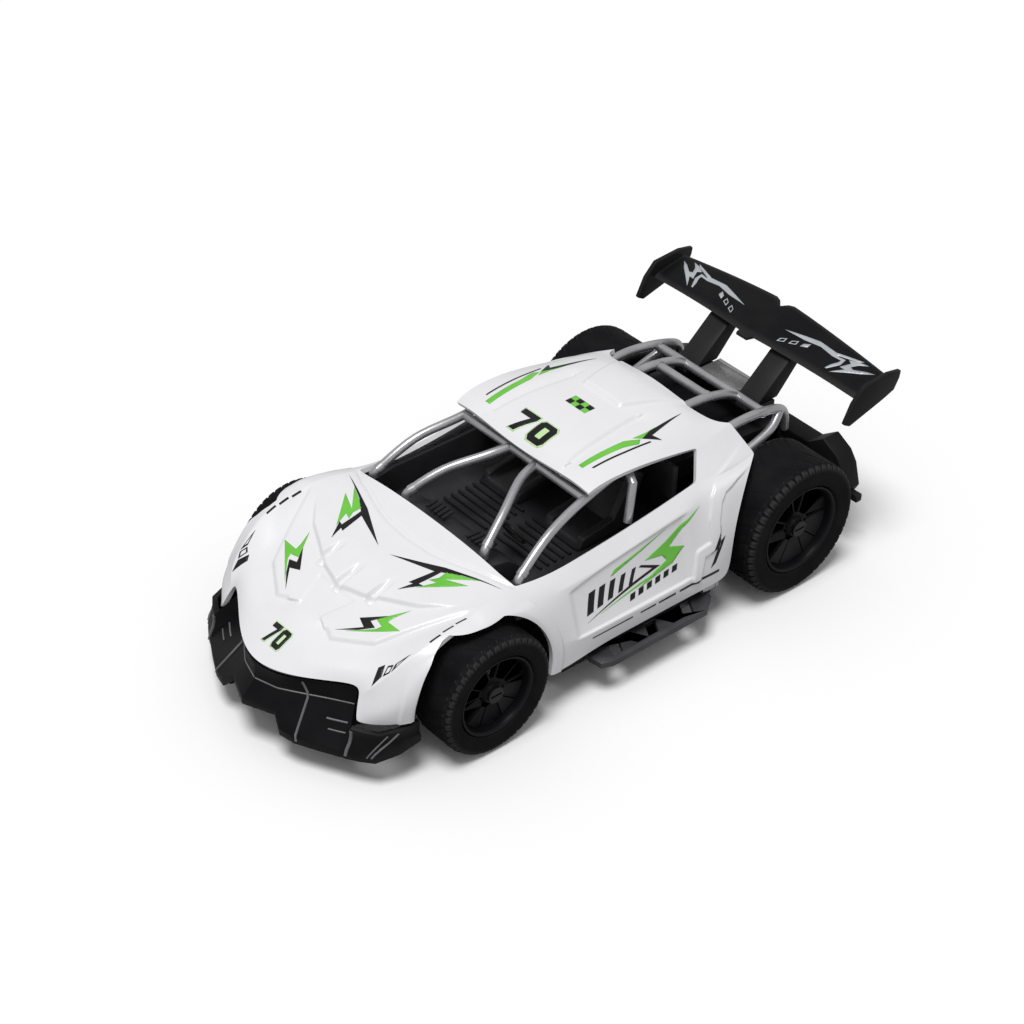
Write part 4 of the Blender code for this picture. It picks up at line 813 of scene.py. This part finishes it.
def side_marks(tree):
    """Speed bars, long stripes and a bolt on the door, dashes on the sill."""
    black, green = [], []
    bars = [slanted(40.5 + i * 4.6, 28.6 + i * 0.62, 2.9 - 0.32 * i, 6.4 - 0.45 * i, 2.4)
            for i in range(5)]
    swoosh = [(40.3, 26.6), (61, 30.6), (72.6, 32.6), (65, 35.6), (64.0, 35.2), (69.4, 32.9),
              (60.8, 31.4)]
    small = [slanted(58.2 + i * 3.7, 26.3 + i * 0.4, 2.2, 1.9, 0.7) for i in range(6)]
    black += [sticker([shape], tree, "side") for shape in bars + [swoosh] + small]
    bolt = [(66.8, 36.4), (75.6, 39.4), (90.6, 46.6), (77.0, 37.2), (83.2, 35.2), (77.8, 31.4),
            (62, 28.6), (75.4, 33.2), (73.8, 35.4)]
    stripe = [(52.5, 36.6), (66, 40.2), (76.5, 43.6), (66, 40.9), (54, 38.2)]
    lower = [(46, 27.2), (62, 30.0), (74, 31.4), (62, 29.4)]
    green += [sticker([shape], tree, "side") for shape in (bolt, stripe, lower)]
    for start, end, high in ((41, 58, 0.5), (61.4, 68, 0.65), (69.3, 76.7, 0.8), (78.5, 96, 1.0)):
        dash = [(start, 21.2), (end, 21.2), (end, 21.2 + high), (start, 21.2 + high * 0.8)]
        black.append(sticker([dash], tree, "side"))
    zigzag = [(92.2, 24.2), (95.4, 31.6), (92.4, 29.4), (96.6, 38.6), (95.2, 32.4), (98.2, 34.4),
              (94.2, 25.6)]
    black.append(sticker([zigzag], tree, "side"))
    return [both(m) for m in black], [both(m) for m in green]


def make_marks(skin):
    tree = surface_tree(skin)
    black, green, pale = bonnet_marks(tree)
    for extra in (roof_marks(tree), side_marks(tree)):
        black += extra[0]
        green += extra[1]
    piece("marks_black", joined(black), "chassis", "print_black", sharp=0)
    piece("marks_green", joined(green), "chassis", "print_green", sharp=0)
    piece("marks_pale", joined(pale), "chassis", "print_pale", sharp=0)


# ---- wheels ----------------------------------------------------------------------------
TREAD_BLOCKS = {"front": 22, "rear": 24}
POINTS_PER_BLOCK = 12
BEAD_R = {"front": 14.5, "rear": 16.4}
KINGPIN_X = 33.0


def tyre_outline(half, bead, outer, steps):
    """Half profile from the tread's middle to the bead: (offset, radius, tread share)."""
    shoulder = half - 2.4
    out = [(shoulder * i / steps, outer, 1.0) for i in range(steps + 1)]
    out += [(half - 1.6, outer - 0.12, 1.0), (half - 0.8, outer - 0.5, 0.9),
            (half - 0.25, outer - 1.2, 0.6), (half, outer - 2.1, 0.3)]
    for share in (0.25, 0.4, 0.55, 0.7, 0.82, 0.9):
        out.append((half - 0.35 * share, outer - 2.1 - share * (outer - 2.1 - bead), 0.0))
    out += [(half - 0.2, bead + 1.2, 0.0), (half - 0.5, bead + 0.3, 0.0), (half - 1.2, bead, 0.0)]
    return out


def tread_depth(offset, angle, half, blocks):
    """How far the tread is cut away at a point of it."""
    turn = angle * blocks / (2 * math.pi)
    share = abs(offset) / half
    lean = turn + 0.9 * share + (0.5 if offset < 0 else 0)
    groove = abs(lean - round(lean))
    shallow = 0.38 * max(0.0, 1 - groove / 0.085) if 0.12 < share < 0.80 else 0.0
    fine = lean * 2
    hair = 0.16 * max(0.0, 1 - abs(fine - round(fine)) / 0.09) if 0.3 < share < 0.72 else 0.0
    notch = turn * 2
    gap = abs(notch - round(notch))
    cut = 0.85 * max(0.0, 1 - gap / 0.16) if share > 0.82 else 0.0
    ring_cut = 0.30 if 0.775 < share < 0.815 else 0.0
    return max(shallow, hair, cut, ring_cut)


def make_tyre(place, side, blocks):
    name = f"{place}_{side}_tyre"
    low, high = extent(name)
    middle = (low + high) / 2
    half, outer = (high.x - low.x) / 2, (high.z - low.z) / 2
    outline = tyre_outline(half, BEAD_R[place], outer - 0.01, 24)
    profile = [(-o, r, s) for o, r, s in reversed(outline)] + outline[1:]
    turns = blocks * POINTS_PER_BLOCK
    rings = []
    for i in range(turns):
        angle = 2 * math.pi * i / turns
        spots = []
        for offset, radius, share in profile:
            r = radius - share * tread_depth(offset, angle, half, blocks)
            spots.append((middle.x + offset, middle.y + r * math.cos(angle),
                          middle.z + r * math.sin(angle)))
        rings.append(spots)
    body = frame["nodes"][name]["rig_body"]
    piece(name + "_moulded", around(rings), body, "tyre_rubber", (name,), sharp=50)


SPOKES = 5                                  # forked spokes: two thin arms each
FORK_HALF, ARM_W = 2.6, 1.15


def arc_outline(corners, y, z):
    return [(y + r * math.cos(t), z + r * math.sin(t)) for t, r in corners]


def make_rim(place, side):
    node_name = f"{place}_{side}_rim"
    body = frame["nodes"][node_name]["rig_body"]
    low, high = extent(node_name)
    flip = 1 if side == "left" else -1
    edge = high.x if flip == 1 else -low.x
    back = low.x if flip == 1 else -high.x
    y, z = (low.y + high.y) / 2, (low.z + high.z) / 2
    outer = (high.z - low.z) / 2
    face = edge - 3.0
    lip = [(edge - 0.4, outer), (edge, outer - 0.25), (edge, outer - 0.7),
           (edge - 0.5, outer - 1.15), (edge - 1.4, outer - 1.35),
           (face, outer - 1.6), (face - 2.4, outer - 1.6),
           (face - 3.2, outer - 1.1), (back + 0.9, outer - 1.1), (back + 0.9, outer)]
    parts = [turned(lip, (0, y, z), 120)]
    holes = []
    reach = outer - 2.2
    for i in range(SPOKES):
        gap_mid = 2 * math.pi * (i + 0.5) / SPOKES + math.pi / 2
        spread = math.pi / SPOKES - (FORK_HALF + ARM_W) / reach
        pinch = math.pi / SPOKES - 0.32
        arc = [(gap_mid + spread * s, reach) for s in (-1, -0.6, -0.2, 0.2, 0.6, 1)]
        holes.append(arc_outline(arc + [(gap_mid + pinch, 5.4), (gap_mid, 4.7),
                                        (gap_mid - pinch, 5.4)], y, z))
        fork, spoke = FORK_HALF / reach, gap_mid + math.pi / SPOKES
        arc = [(spoke + fork * s, reach) for s in (-1, -0.5, 0, 0.5, 1)]
        holes.append(arc_outline(arc + [(spoke + 0.12, 5.7), (spoke - 0.12, 5.7)], y, z))
    ring_points = [(2 * math.pi * i / 96, outer - 1.5) for i in range(96)]
    disc = arc_outline(ring_points, y, z)
    parts.append(plate("YZ", [disc] + holes, face - 2.2, face, 0.35))
    parts.append(rod("X", face - 0.5, face + 1.1, (y, z), 3.9, 36, 3.3))
    for i in range(SPOKES):
        angle = 2 * math.pi * (i + 0.5) / SPOKES + math.pi / 2
        spot = (y + 3.0 * math.cos(angle), z + 3.0 * math.sin(angle))
        parts.append(rod("X", face + 0.9, face + 1.35, spot, 0.42, 10))
    hub = (KINGPIN_X + 2.9) if place == "front" else back
    parts.append(rod("X", hub, face, (y, z), 3.5, 32))
    mesh = joined(parts)
    if flip == -1:
        mesh = mirrored(mesh)
    piece(node_name + "_moulded", mesh, body, "rim_black", (node_name,), sharp=30)


def make_wheels():
    for side in ("left", "right"):
        for place, blocks in TREAD_BLOCKS.items():
            make_tyre(place, side, blocks)
        for place in TREAD_BLOCKS:
            make_rim(place, side)


# ---- wing ------------------------------------------------------------------------------
WING_HALF_SPAN = 48.2
WING_T = 1.8


def wing_section(share):
    lead = Vector((WHEELBASE + 22.5 + 3.5 * share, 64.4 - 2.6 * share ** 2))
    trail = Vector((WHEELBASE + 41.6 - 1.2 * share, 69.6 - 4.4 * share ** 1.5))
    return lead, trail


def wing_mesh():
    """Cambered blade lofted in 24 sections a side, notched at the middle of its tail."""
    chord_steps = 12
    bm = bmesh.new()
    rings = []
    for i in range(49):
        share = i / 24 - 1
        lead, trail = wing_section(abs(share))
        chord = trail - lead
        up = Vector((-chord.y, chord.x)).normalized() * WING_T
        notch = max(0.0, 1 - abs(share) * WING_HALF_SPAN / 2.8) * 0.15
        ring_points = []
        for sign in (1, -1):
            for k in range(chord_steps + 1):
                t = k / chord_steps if sign == 1 else 1 - k / chord_steps
                camber = 0.18 * math.sin(math.pi * t)
                half = 0.42 * (1 - (1 - min(t * 6, 1)) ** 2) ** 0.5 * (1 - 0.45 * t)
                spot = lead + chord * t * (1 - notch) + up * (camber + sign * half)
                ring_points.append((share * WING_HALF_SPAN, spot.x, spot.y))
        rings.append([bm.verts.new(p) for p in ring_points[:-1]])
    count = len(rings[0])
    for a, b in zip(rings, rings[1:]):
        for k in range(count):
            n = (k + 1) % count
            bm.faces.new((a[k], a[n], b[n], b[k]))
    bm.faces.new(rings[0])
    bm.faces.new(rings[-1])
    return from_bmesh(bm)


WING_ARROW = ((9.6, 31.4), (14.9, 33.1), (22.4, 35.4), (29.6, 35.4), (35.2, 37.5), (39.2, 39.0),
              (37.8, 37.4), (31.4, 34.9), (30.9, 34.4), (34.2, 35.2), (34.5, 32.3), (32.1, 28.1),
              (31.4, 28.1), (32.0, 30.5), (33.0, 32.5), (33.2, 33.9), (29.6, 33.3), (24.1, 33.7),
              (18.0, 32.2))
WING_BOLT = ((34.9, 35.9), (38.4, 37.9), (41.5, 38.8), (38.9, 36.5), (37.6, 34.1), (38.9, 33.7),
             (42.7, 36.3), (45.4, 37.5), (42.1, 34.2), (37.9, 31.0), (33.7, 27.7), (35.3, 30.0),
             (36.9, 31.9), (34.8, 31.6), (36.5, 35.2))


def make_wing():
    blade = wing_mesh()
    a = WHEELBASE
    tab = plate("XY", [[(-2.4, a + 20.6), (2.4, a + 20.6), (3.4, a + 24), (-3.4, a + 24)]],
                63.6, 65.0, 0.3)
    tree = surface_tree(blade)
    piece("rear_wing_moulded", joined([blade, tab]), "chassis", "black_plastic", ("rear_wing",))
    silver = []
    for shape in (WING_ARROW, WING_BOLT):
        silver.append(both(sticker([[(x, a + y) for x, y in shape]], tree, "top")))
    for i, solid in enumerate((False, False, True)):
        x, y = 10.9 + 3.9 * i, a + 26.0 + 1.6 * i
        square = [(x, y), (x + 0.3, y + 1.7), (x + 2.3, y + 3.1), (x + 2.4, y + 1.2)]
        silver.append(both(sticker([square] if solid else ring(square, 0.66), tree, "top")))
    piece("marks_wing", joined(silver), "chassis", "print_silver", sharp=0)


# ---- cage ------------------------------------------------------------------------------
def sides_of(points):
    return [points, [(-x, y, z) for x, y, z in points]]


def collar(point, towards, radius, length):
    """A short sleeve round a bar, starting at point."""
    a, b = Vector(point), Vector(towards)
    end = a + (b - a).normalized() * length
    return tube([a, end], radius, 20, smooth=False)


def make_windscreen_frame():
    roof = ROOF_Z - SHELL_T - CAGE_R - 1.0
    front = COWL_Y + 36.6
    top = roof - 5.6
    rear = WHEELBASE - 26
    a_bar = [(35.6, COWL_Y + 4.2, 43.8), (35.2, COWL_Y + 5.5, 46), (32.6, COWL_Y + 19, 54),
             (29.2, front, top - 0.4), (28, front + 20, roof - 2.8), (26.5, rear, roof - 7.2)]
    inner = [(19.2, COWL_Y + 4.2, 43.8), (18.8, COWL_Y + 5.5, 47), (14.6, COWL_Y + 16, 53),
             (8.4, COWL_Y + 28, 56.8), (6, front, top)]
    header = [(-29.2, front, top - 0.4), (-6, front, top),
              (6, front, top), (29.2, front, top - 0.4)]
    post = [(35, WHEELBASE * 0.52, 45.5), (32.8, WHEELBASE * 0.545, 58),
            (27.6, WHEELBASE * 0.56, roof - 2.8)]
    hoop = post + [(-x, y, z) for x, y, z in reversed(post)]
    bars = sides_of(a_bar) + sides_of(inner)
    meshes = [tube(points, CAGE_R) for points in bars]
    meshes += [tube(points, CAGE_R, smooth=False) for points in (header, hoop)]
    for points in bars:
        meshes.append(collar(points[1], points[2], CAGE_R + 0.28, 2.2))
    piece("windscreen_frame_bars", joined(meshes), "chassis", "cage_grey", ("windscreen_frame",))


def make_rear_cage():
    a = WHEELBASE
    deck = 49.6
    r = CAGE_R + 0.1
    outer = [(26.8, a - 20, 53.4), (26.5, a - 8, 54.9), (25.8, a + 4, 53.8), (25.2, a + 14, 51.2),
             (25.2, a + 17.5, 48), (25.2, a + 18.5, deck - 8)]
    inner = [(12.2, a - 20, 58.2), (12.4, a - 8, 57.6), (12.5, a + 2, 55.2), (12.4, a + 7.4, 52.2)]
    down = [(25.4, a + 15, 50.2), (28, a + 8, 46.5), (28.6, a - 6, 42.6), (28.6, a - 16, 42)]
    hoop = [(-26.8, a - 19, 53.6), (-12.2, a - 19, 58.2),
            (12.2, a - 19, 58.2), (26.8, a - 19, 53.6)]
    cross = [(-12.4, a - 6, 57.2), (12.4, a - 6, 57.2)]
    back = [(-25.6, a + 7.4, 52.4), (25.6, a + 7.4, 52.4)]
    meshes = [tube(points, r) for points in sides_of(outer) + sides_of(inner) + sides_of(down)]
    meshes += [tube(points, r, smooth=False) for points in (hoop, cross, back)]
    for points in (cross, back):
        meshes.append(collar(points[0], points[1], r + 0.25, 1.6))
        meshes.append(collar(points[1], points[0], r + 0.25, 1.6))
    piece("rear_cage_bars", joined(meshes), "chassis", "cage_grey", ("rear_cage",))


# ---- small parts -----------------------------------------------------------------------
def node_tree(name):
    """Ray tree of a CAD node in car millimetres."""
    mesh = frame["nodes"][name].data.copy()
    mesh.transform(PLACE.inverted() @ frame["nodes"][name].matrix_world)
    return surface_tree(mesh)


def on_face(tree, x, z):
    """The point of a front face that lies straight behind (x, z)."""
    return tree.ray_cast(Vector((x, NOSE_Y - 30, z)), Vector((0, 1, 0)))[0]


def face_rib(tree, points, radius):
    spots = [on_face(tree, x, z) for x, z in points]
    return tube([spot for spot in spots if spot], radius, 10, smooth=False)


def steps(start, end, count):
    return [(start[0] + (end[0] - start[0]) * i / count, start[1] + (end[1] - start[1]) * i / count)
            for i in range(count + 1)]


def make_fascia_ribs():
    """Upright rib, crease line, short bars and the pair of slanted ribs at the corner."""
    tree = node_tree("front_bumper")
    ribs = [face_rib(tree, steps((14.8, 26.4), (20.6, 10.4), 9), 0.42),
            face_rib(tree, steps((0.2, 21.8), (28.4, 21.8), 14), 0.28),
            face_rib(tree, steps((24.4, 17.6), (30.2, 17.6), 4), 0.32),
            face_rib(tree, steps((26.6, 15.4), (31.4, 15.4), 4), 0.26),
            face_rib(tree, steps((44.6, 18.8), (41.8, 11.4), 5), 0.34),
            face_rib(tree, steps((43.4, 18.6), (40.6, 11.2), 5), 0.26),
            face_rib(tree, steps((34.9, 18.8), (34.9, 10.4), 4), 0.55)]
    # the ribs' pale grey is a painted glint along each rib
    piece("front_bumper_ribs", joined([both(rib) for rib in ribs]), "chassis", "rib_painted_glint")


def make_deck_plate():
    """Bright plate between the struts, and a stepped foot block in front of each."""
    a = WHEELBASE
    top = extent("rear_deck")[1].z
    sheet = plate("XY", [[(-9.2, a + 9.6), (9.2, a + 9.6), (9.2, a + 21.4), (-9.2, a + 21.4)]],
                  top + 0.05, top + 0.75, 0.2)
    ribs = [plate("XY", [[(-8.6, a + y), (8.6, a + y), (8.6, a + y + 0.9), (-8.6, a + y + 0.9)]],
                  top + 0.6, top + 1.15, 0.15) for y in (11.2, 18.9)]
    piece("deck_plate", joined([sheet] + ribs), "chassis", "deck_silver")
    low, high = extent("wing_strut_left")
    feet = []
    for inset, rise_mm, reach in ((0.2, 1.7, 4.6), (1.1, 3.1, 2.9)):
        y0, y1 = low.y - reach, low.y - 0.15
        outline = [(low.x + inset, y0), (high.x - inset, y0), (high.x - inset, y1),
                   (low.x + inset, y1)]
        feet.append(both(plate("XY", [outline], top + 0.05, top + rise_mm, 0.3)))
    piece("strut_feet", joined(feet), "chassis", "black_plastic")


def make_cabin_details():
    """Dashboard vents, floor ribs and the steering wheel, seen through the openings."""
    low, high = extent("dashboard")
    meshes = []
    for i in range(5):
        x = 5.5 + i * 2.0
        slat = plate("XY", [[(x, low.y + 4.5), (x + 1.1, low.y + 4.5), (x + 1.6, low.y + 9.5),
                             (x + 0.5, low.y + 9.5)]], high.z - 0.2, high.z + 0.55, 0.15)
        meshes.append(both(slat))
    floor = extent("cockpit_tray")[0].z + 2.0
    for i in range(6):
        y = COWL_Y + 24 + i * 3.1
        rib = plate("XY", [[(2.4, y), (24.0, y), (24.0, y + 0.9), (2.4, y + 0.9)]],
                    floor, floor + 0.9, 0.2)
        meshes.append(both(rib))
    piece("cabin_trim", joined(meshes), "chassis", "black_plastic")
    wheel = turned([(0.55 * math.cos(t), 4.6 + 0.55 * math.sin(t))
                    for t in [i * math.pi / 5 for i in range(10)]], (0, 0, 0), 48)
    hub = turned([(-0.4, 0.05), (0.4, 0.05), (0.4, 1.5), (-0.4, 1.5)], (0, 0, 0), 24)
    spokes = [rod("Y", -4.4, 4.4, (0, 0), 0.4, 10)]
    mesh = joined([wheel, hub] + spokes)
    turn = Matrix.Rotation(math.radians(90), 4, "Z") @ Matrix.Rotation(math.radians(-30), 4, "Y")
    mesh.transform(Matrix.Translation((14, high.y + 2.6, high.z + 0.8)) @ turn)
    piece("steering_wheel", mesh, "chassis", "black_plastic")


def make_sill_tubes():
    """Short bright tube that carries the rear end of each side step."""
    low, high = extent("side_step_left")
    x = (low.x + high.x) / 2 - 2.6
    body = tube([(x, high.y - 3, high.z + 1.3), (x, high.y + 3.5, high.z + 1.3)], 1.2, 20, False)
    rim = collar((x, high.y + 2.6, high.z + 1.3), (x, high.y + 6, high.z + 1.3), 1.4, 1.1)
    piece("sill_tubes", both(joined([body, rim])), "chassis", "cage_grey")


# ---- view, floor and light -------------------------------------------------------------
CAMERA_AT = (495.362, -399.966, 537.745)    # in the car's own millimetres
CAMERA_AZIMUTH, CAMERA_ELEVATION, CAMERA_ROLL = 47.749, 36.804, 2.413
FOCAL_PX, IMAGE_PX, SENSOR = 2599.603, 1024, 36.0


def make_camera():
    az, el, roll = (math.radians(v) for v in (CAMERA_AZIMUTH, CAMERA_ELEVATION, CAMERA_ROLL))
    ahead = Vector((-math.sin(az) * math.cos(el), math.cos(az) * math.cos(el), -math.sin(el)))
    right = ahead.cross(Vector((0, 0, 1))).normalized()
    up = right.cross(ahead)
    right2 = right * math.cos(roll) + up * math.sin(roll)
    up2 = up * math.cos(roll) - right * math.sin(roll)
    data = bpy.data.cameras.new("photo_camera")
    data.sensor_width = SENSOR
    data.lens = FOCAL_PX * SENSOR / IMAGE_PX
    data.clip_start = 0.01
    camera = bpy.data.objects.new("photo_camera", data)
    bpy.context.scene.collection.objects.link(camera)
    turn = Matrix((right2, up2, -ahead)).transposed().to_4x4()
    camera.matrix_world = Matrix.Translation(PLACE @ Vector(CAMERA_AT)) @ turn
    bpy.context.scene.camera = camera


ROOM_LIGHT = 0.42
KEY_FROM, KEY_POWER, KEY_SOFTNESS = (0.11, -0.26, 1.0), 2.05, 24.0
FLOOR_HALF, FLOOR_DROP = 4.0, 0.0002        # metres; the drop keeps the tyres out of the floor
FLOOR_SEEN, FLOOR_BOUNCE = 0.98, 0.42       # the camera sees white, the car a greyer floor


def make_sun(name, towards, softness_deg, power):
    """A far soft lamp that lies in the direction towards, so the floor is lit evenly."""
    data = bpy.data.lights.new(name, "SUN")
    data.angle = math.radians(softness_deg)
    data.energy = power
    lamp = bpy.data.objects.new(name, data)
    lamp.rotation_euler = (Vector(towards) * -1).to_track_quat("-Z", "Y").to_euler()
    bpy.context.scene.collection.objects.link(lamp)


def make_room():
    """Even grey light all round that the camera itself sees as plain white."""
    world = bpy.data.worlds.new("soft_room")
    bpy.context.scene.world = world
    world.use_nodes = True
    tree = world.node_tree
    soft = tree.nodes["Background"]
    soft.inputs["Color"].default_value = (1, 1, 1, 1)
    soft.inputs["Strength"].default_value = ROOM_LIGHT
    white = node(tree, "ShaderNodeBackground", Strength=1.0)
    white.inputs["Color"].default_value = (1, 1, 1, 1)
    seen = tree.nodes.new("ShaderNodeLightPath").outputs["Is Camera Ray"]
    mix = tree.nodes.new("ShaderNodeMixShader")
    tree.links.new(seen, mix.inputs[0])
    tree.links.new(soft.outputs[0], mix.inputs[1])
    tree.links.new(white.outputs[0], mix.inputs[2])
    tree.links.new(mix.outputs[0], tree.nodes["World Output"].inputs["Surface"])


def make_stage():
    bm = bmesh.new()
    bmesh.ops.create_grid(bm, x_segments=2, y_segments=2, size=FLOOR_HALF)
    floor = bpy.data.objects.new("floor", from_bmesh(bm))
    bpy.context.scene.collection.objects.link(floor)
    floor.location.z = -FLOOR_DROP
    material = bpy.data.materials.new("floor_white")
    material.use_nodes = True
    shader = material.node_tree.nodes["Principled BSDF"]
    seen = node(material.node_tree, "ShaderNodeLightPath").outputs["Is Camera Ray"]
    tone = ramp(material.node_tree, seen, 0.0, 1.0, (FLOOR_BOUNCE,) * 3, (FLOOR_SEEN,) * 3)
    material.node_tree.links.new(tone, shader.inputs["Base Color"])
    shader.inputs["Roughness"].default_value = 1.0
    shader.inputs["Specular IOR Level"].default_value = 0.0
    floor.data.materials.append(material)
    make_room()
    make_sun("key_lamp", KEY_FROM, KEY_SOFTNESS, KEY_POWER)
    bpy.context.scene.view_settings.view_transform = "Standard"


DARK_HUBS = ("front_wheel_pin_left", "front_wheel_pin_right", "rear_wheel_screw_left",
             "rear_wheel_screw_right")


def dress_frame():
    """Every CAD node gets its slot's finish, whether or not a piece stands for it."""
    for name, obj in frame["nodes"].items():
        for index, material in enumerate(obj.data.materials):
            look = "hub_black" if name in DARK_HUBS else material.name.split(".")[0]
            obj.data.materials[index] = MATERIALS[look]


SOFTENED = ("chassis_tub", "front_bumper", "rear_bumper", "side_step_left", "side_step_right",
            "wing_end_plate_left", "wing_end_plate_right", "wing_strut_left",
            "wing_strut_right", "cockpit_tray", "dashboard", "seat_left", "seat_right",
            "rear_deck", "steering_knuckle_left", "steering_knuckle_right",
            "front_axle_plate", "tie_rod", "steering_box", "gearbox_case", "battery_door")
# Cockpit parts take the paler cabin plastic, painted light where the cockpit lies in shade.
LOOK_OF = {"side_step_left": "step_grey", "side_step_right": "step_grey",
           "cockpit_tray": "cabin_painted_light", "dashboard": "cabin_painted_light",
           "seat_left": "cabin_painted_light", "seat_right": "cabin_painted_light"}


def main():
    for name in SOFTENED:
        soften(name, look=LOOK_OF.get(name))
    make_fascia_ribs()
    make_deck_plate()
    make_cabin_details()
    make_sill_tubes()
    dress_frame()
    skin = shell_surface()
    make_shell(skin)
    make_marks(skin)
    make_wheels()
    make_wing()
    make_windscreen_frame()
    make_rear_cage()
    make_camera()
    make_stage()


main()
